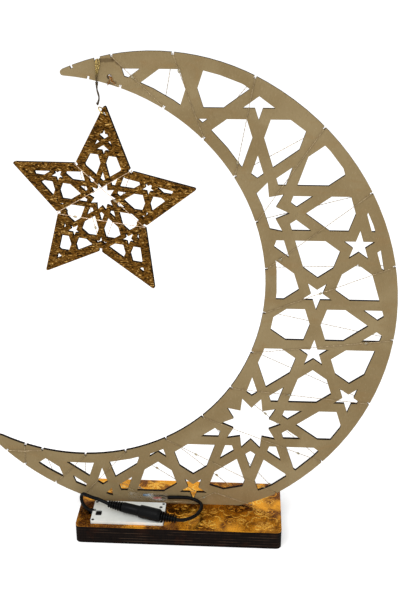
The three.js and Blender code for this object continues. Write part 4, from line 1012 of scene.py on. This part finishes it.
tape_film, graph, place = fresh("clear_tape")
# The whitish patches are partly crease haze and partly painted highlight.
creased = graph.noise(graph.stretched(place, 0.4, 1, 1), 170.0, 3.0, 0.5)
tone = graph.mix(graph.step(creased, 0.35, 0.7), paint(186, 176, 160), paint(230, 226, 216))
crease_haze_and_highlight = graph.step(creased, 0.5, 0.7, 0.04, 0.26)
surface(graph, creased, 0.06, Base_Color=tone, Roughness=0.12, Alpha=crease_haze_and_highlight)
link("creased_tape", sheets, tape_film, "stand", ["clear_tape"], crease=180)

# Studio. A pale floor, two large soft lamps and an even white world.
scene = bpy.context.scene
scene.view_settings.view_transform = "Standard"
floor_mesh = bpy.data.meshes.new("floor")
reach = 6.0
below = 0.0002
floor_corners = [(-reach, -reach, 0), (reach, -reach, 0), (reach, reach, 0), (-reach, reach, 0)]
floor_mesh.from_pydata(floor_corners, [], [(0, 1, 2, 3)])
floor = bpy.data.objects.new("floor", floor_mesh)
floor.location.z = -below
scene.collection.objects.link(floor)
floor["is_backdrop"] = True
floor_paint, graph, place = fresh("studio_floor")
matt = graph.add("BsdfDiffuse", Color=(0.92, 0.92, 0.92, 1.0))
camera_ray = graph.add("LightPath").outputs["Is Camera Ray"]
glow = graph.add("Emission", Strength=graph.sum("MULTIPLY", camera_ray, 0.4))
graph.add("OutputMaterial", Surface=graph.add("AddShader", matt.outputs[0], glow.outputs[0]).outputs[0])
floor_mesh.materials.append(floor_paint)

world = bpy.data.worlds.new("studio")
world.use_nodes = True
world.node_tree.nodes.clear()
graph = Graph(world.node_tree)
rays = graph.add("LightPath").outputs
seen = graph.sum("MAXIMUM", rays["Is Glossy Ray"], rays["Is Transmission Ray"])
seen = graph.sum("MAXIMUM", seen, rays["Is Camera Ray"])
strength = graph.sum("ADD", 0.7, graph.sum("MULTIPLY", seen, 0.3))
sky = graph.add("Background", Color=(1, 1, 1, 1), Strength=strength)
graph.add("OutputWorld", Surface=sky.outputs[0])
scene.world = world


def lamp(name, place, aim, size, power):
    data = bpy.data.lights.new(name, "AREA")
    data.size = size
    data.energy = power
    made = bpy.data.objects.new(name, data)
    made.location = place
    made.rotation_euler = (Vector(aim) - Vector(place)).to_track_quat("-Z", "Y").to_euler()
    scene.collection.objects.link(made)


lamp("key", (-1.2, -2.0, 3.0), (0, 0, 0.2), 2.0, 54)
lamp("fill", (1.2, -2.2, 0.3), (0, 0, 0.05), 1.4, 13)

low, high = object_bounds()
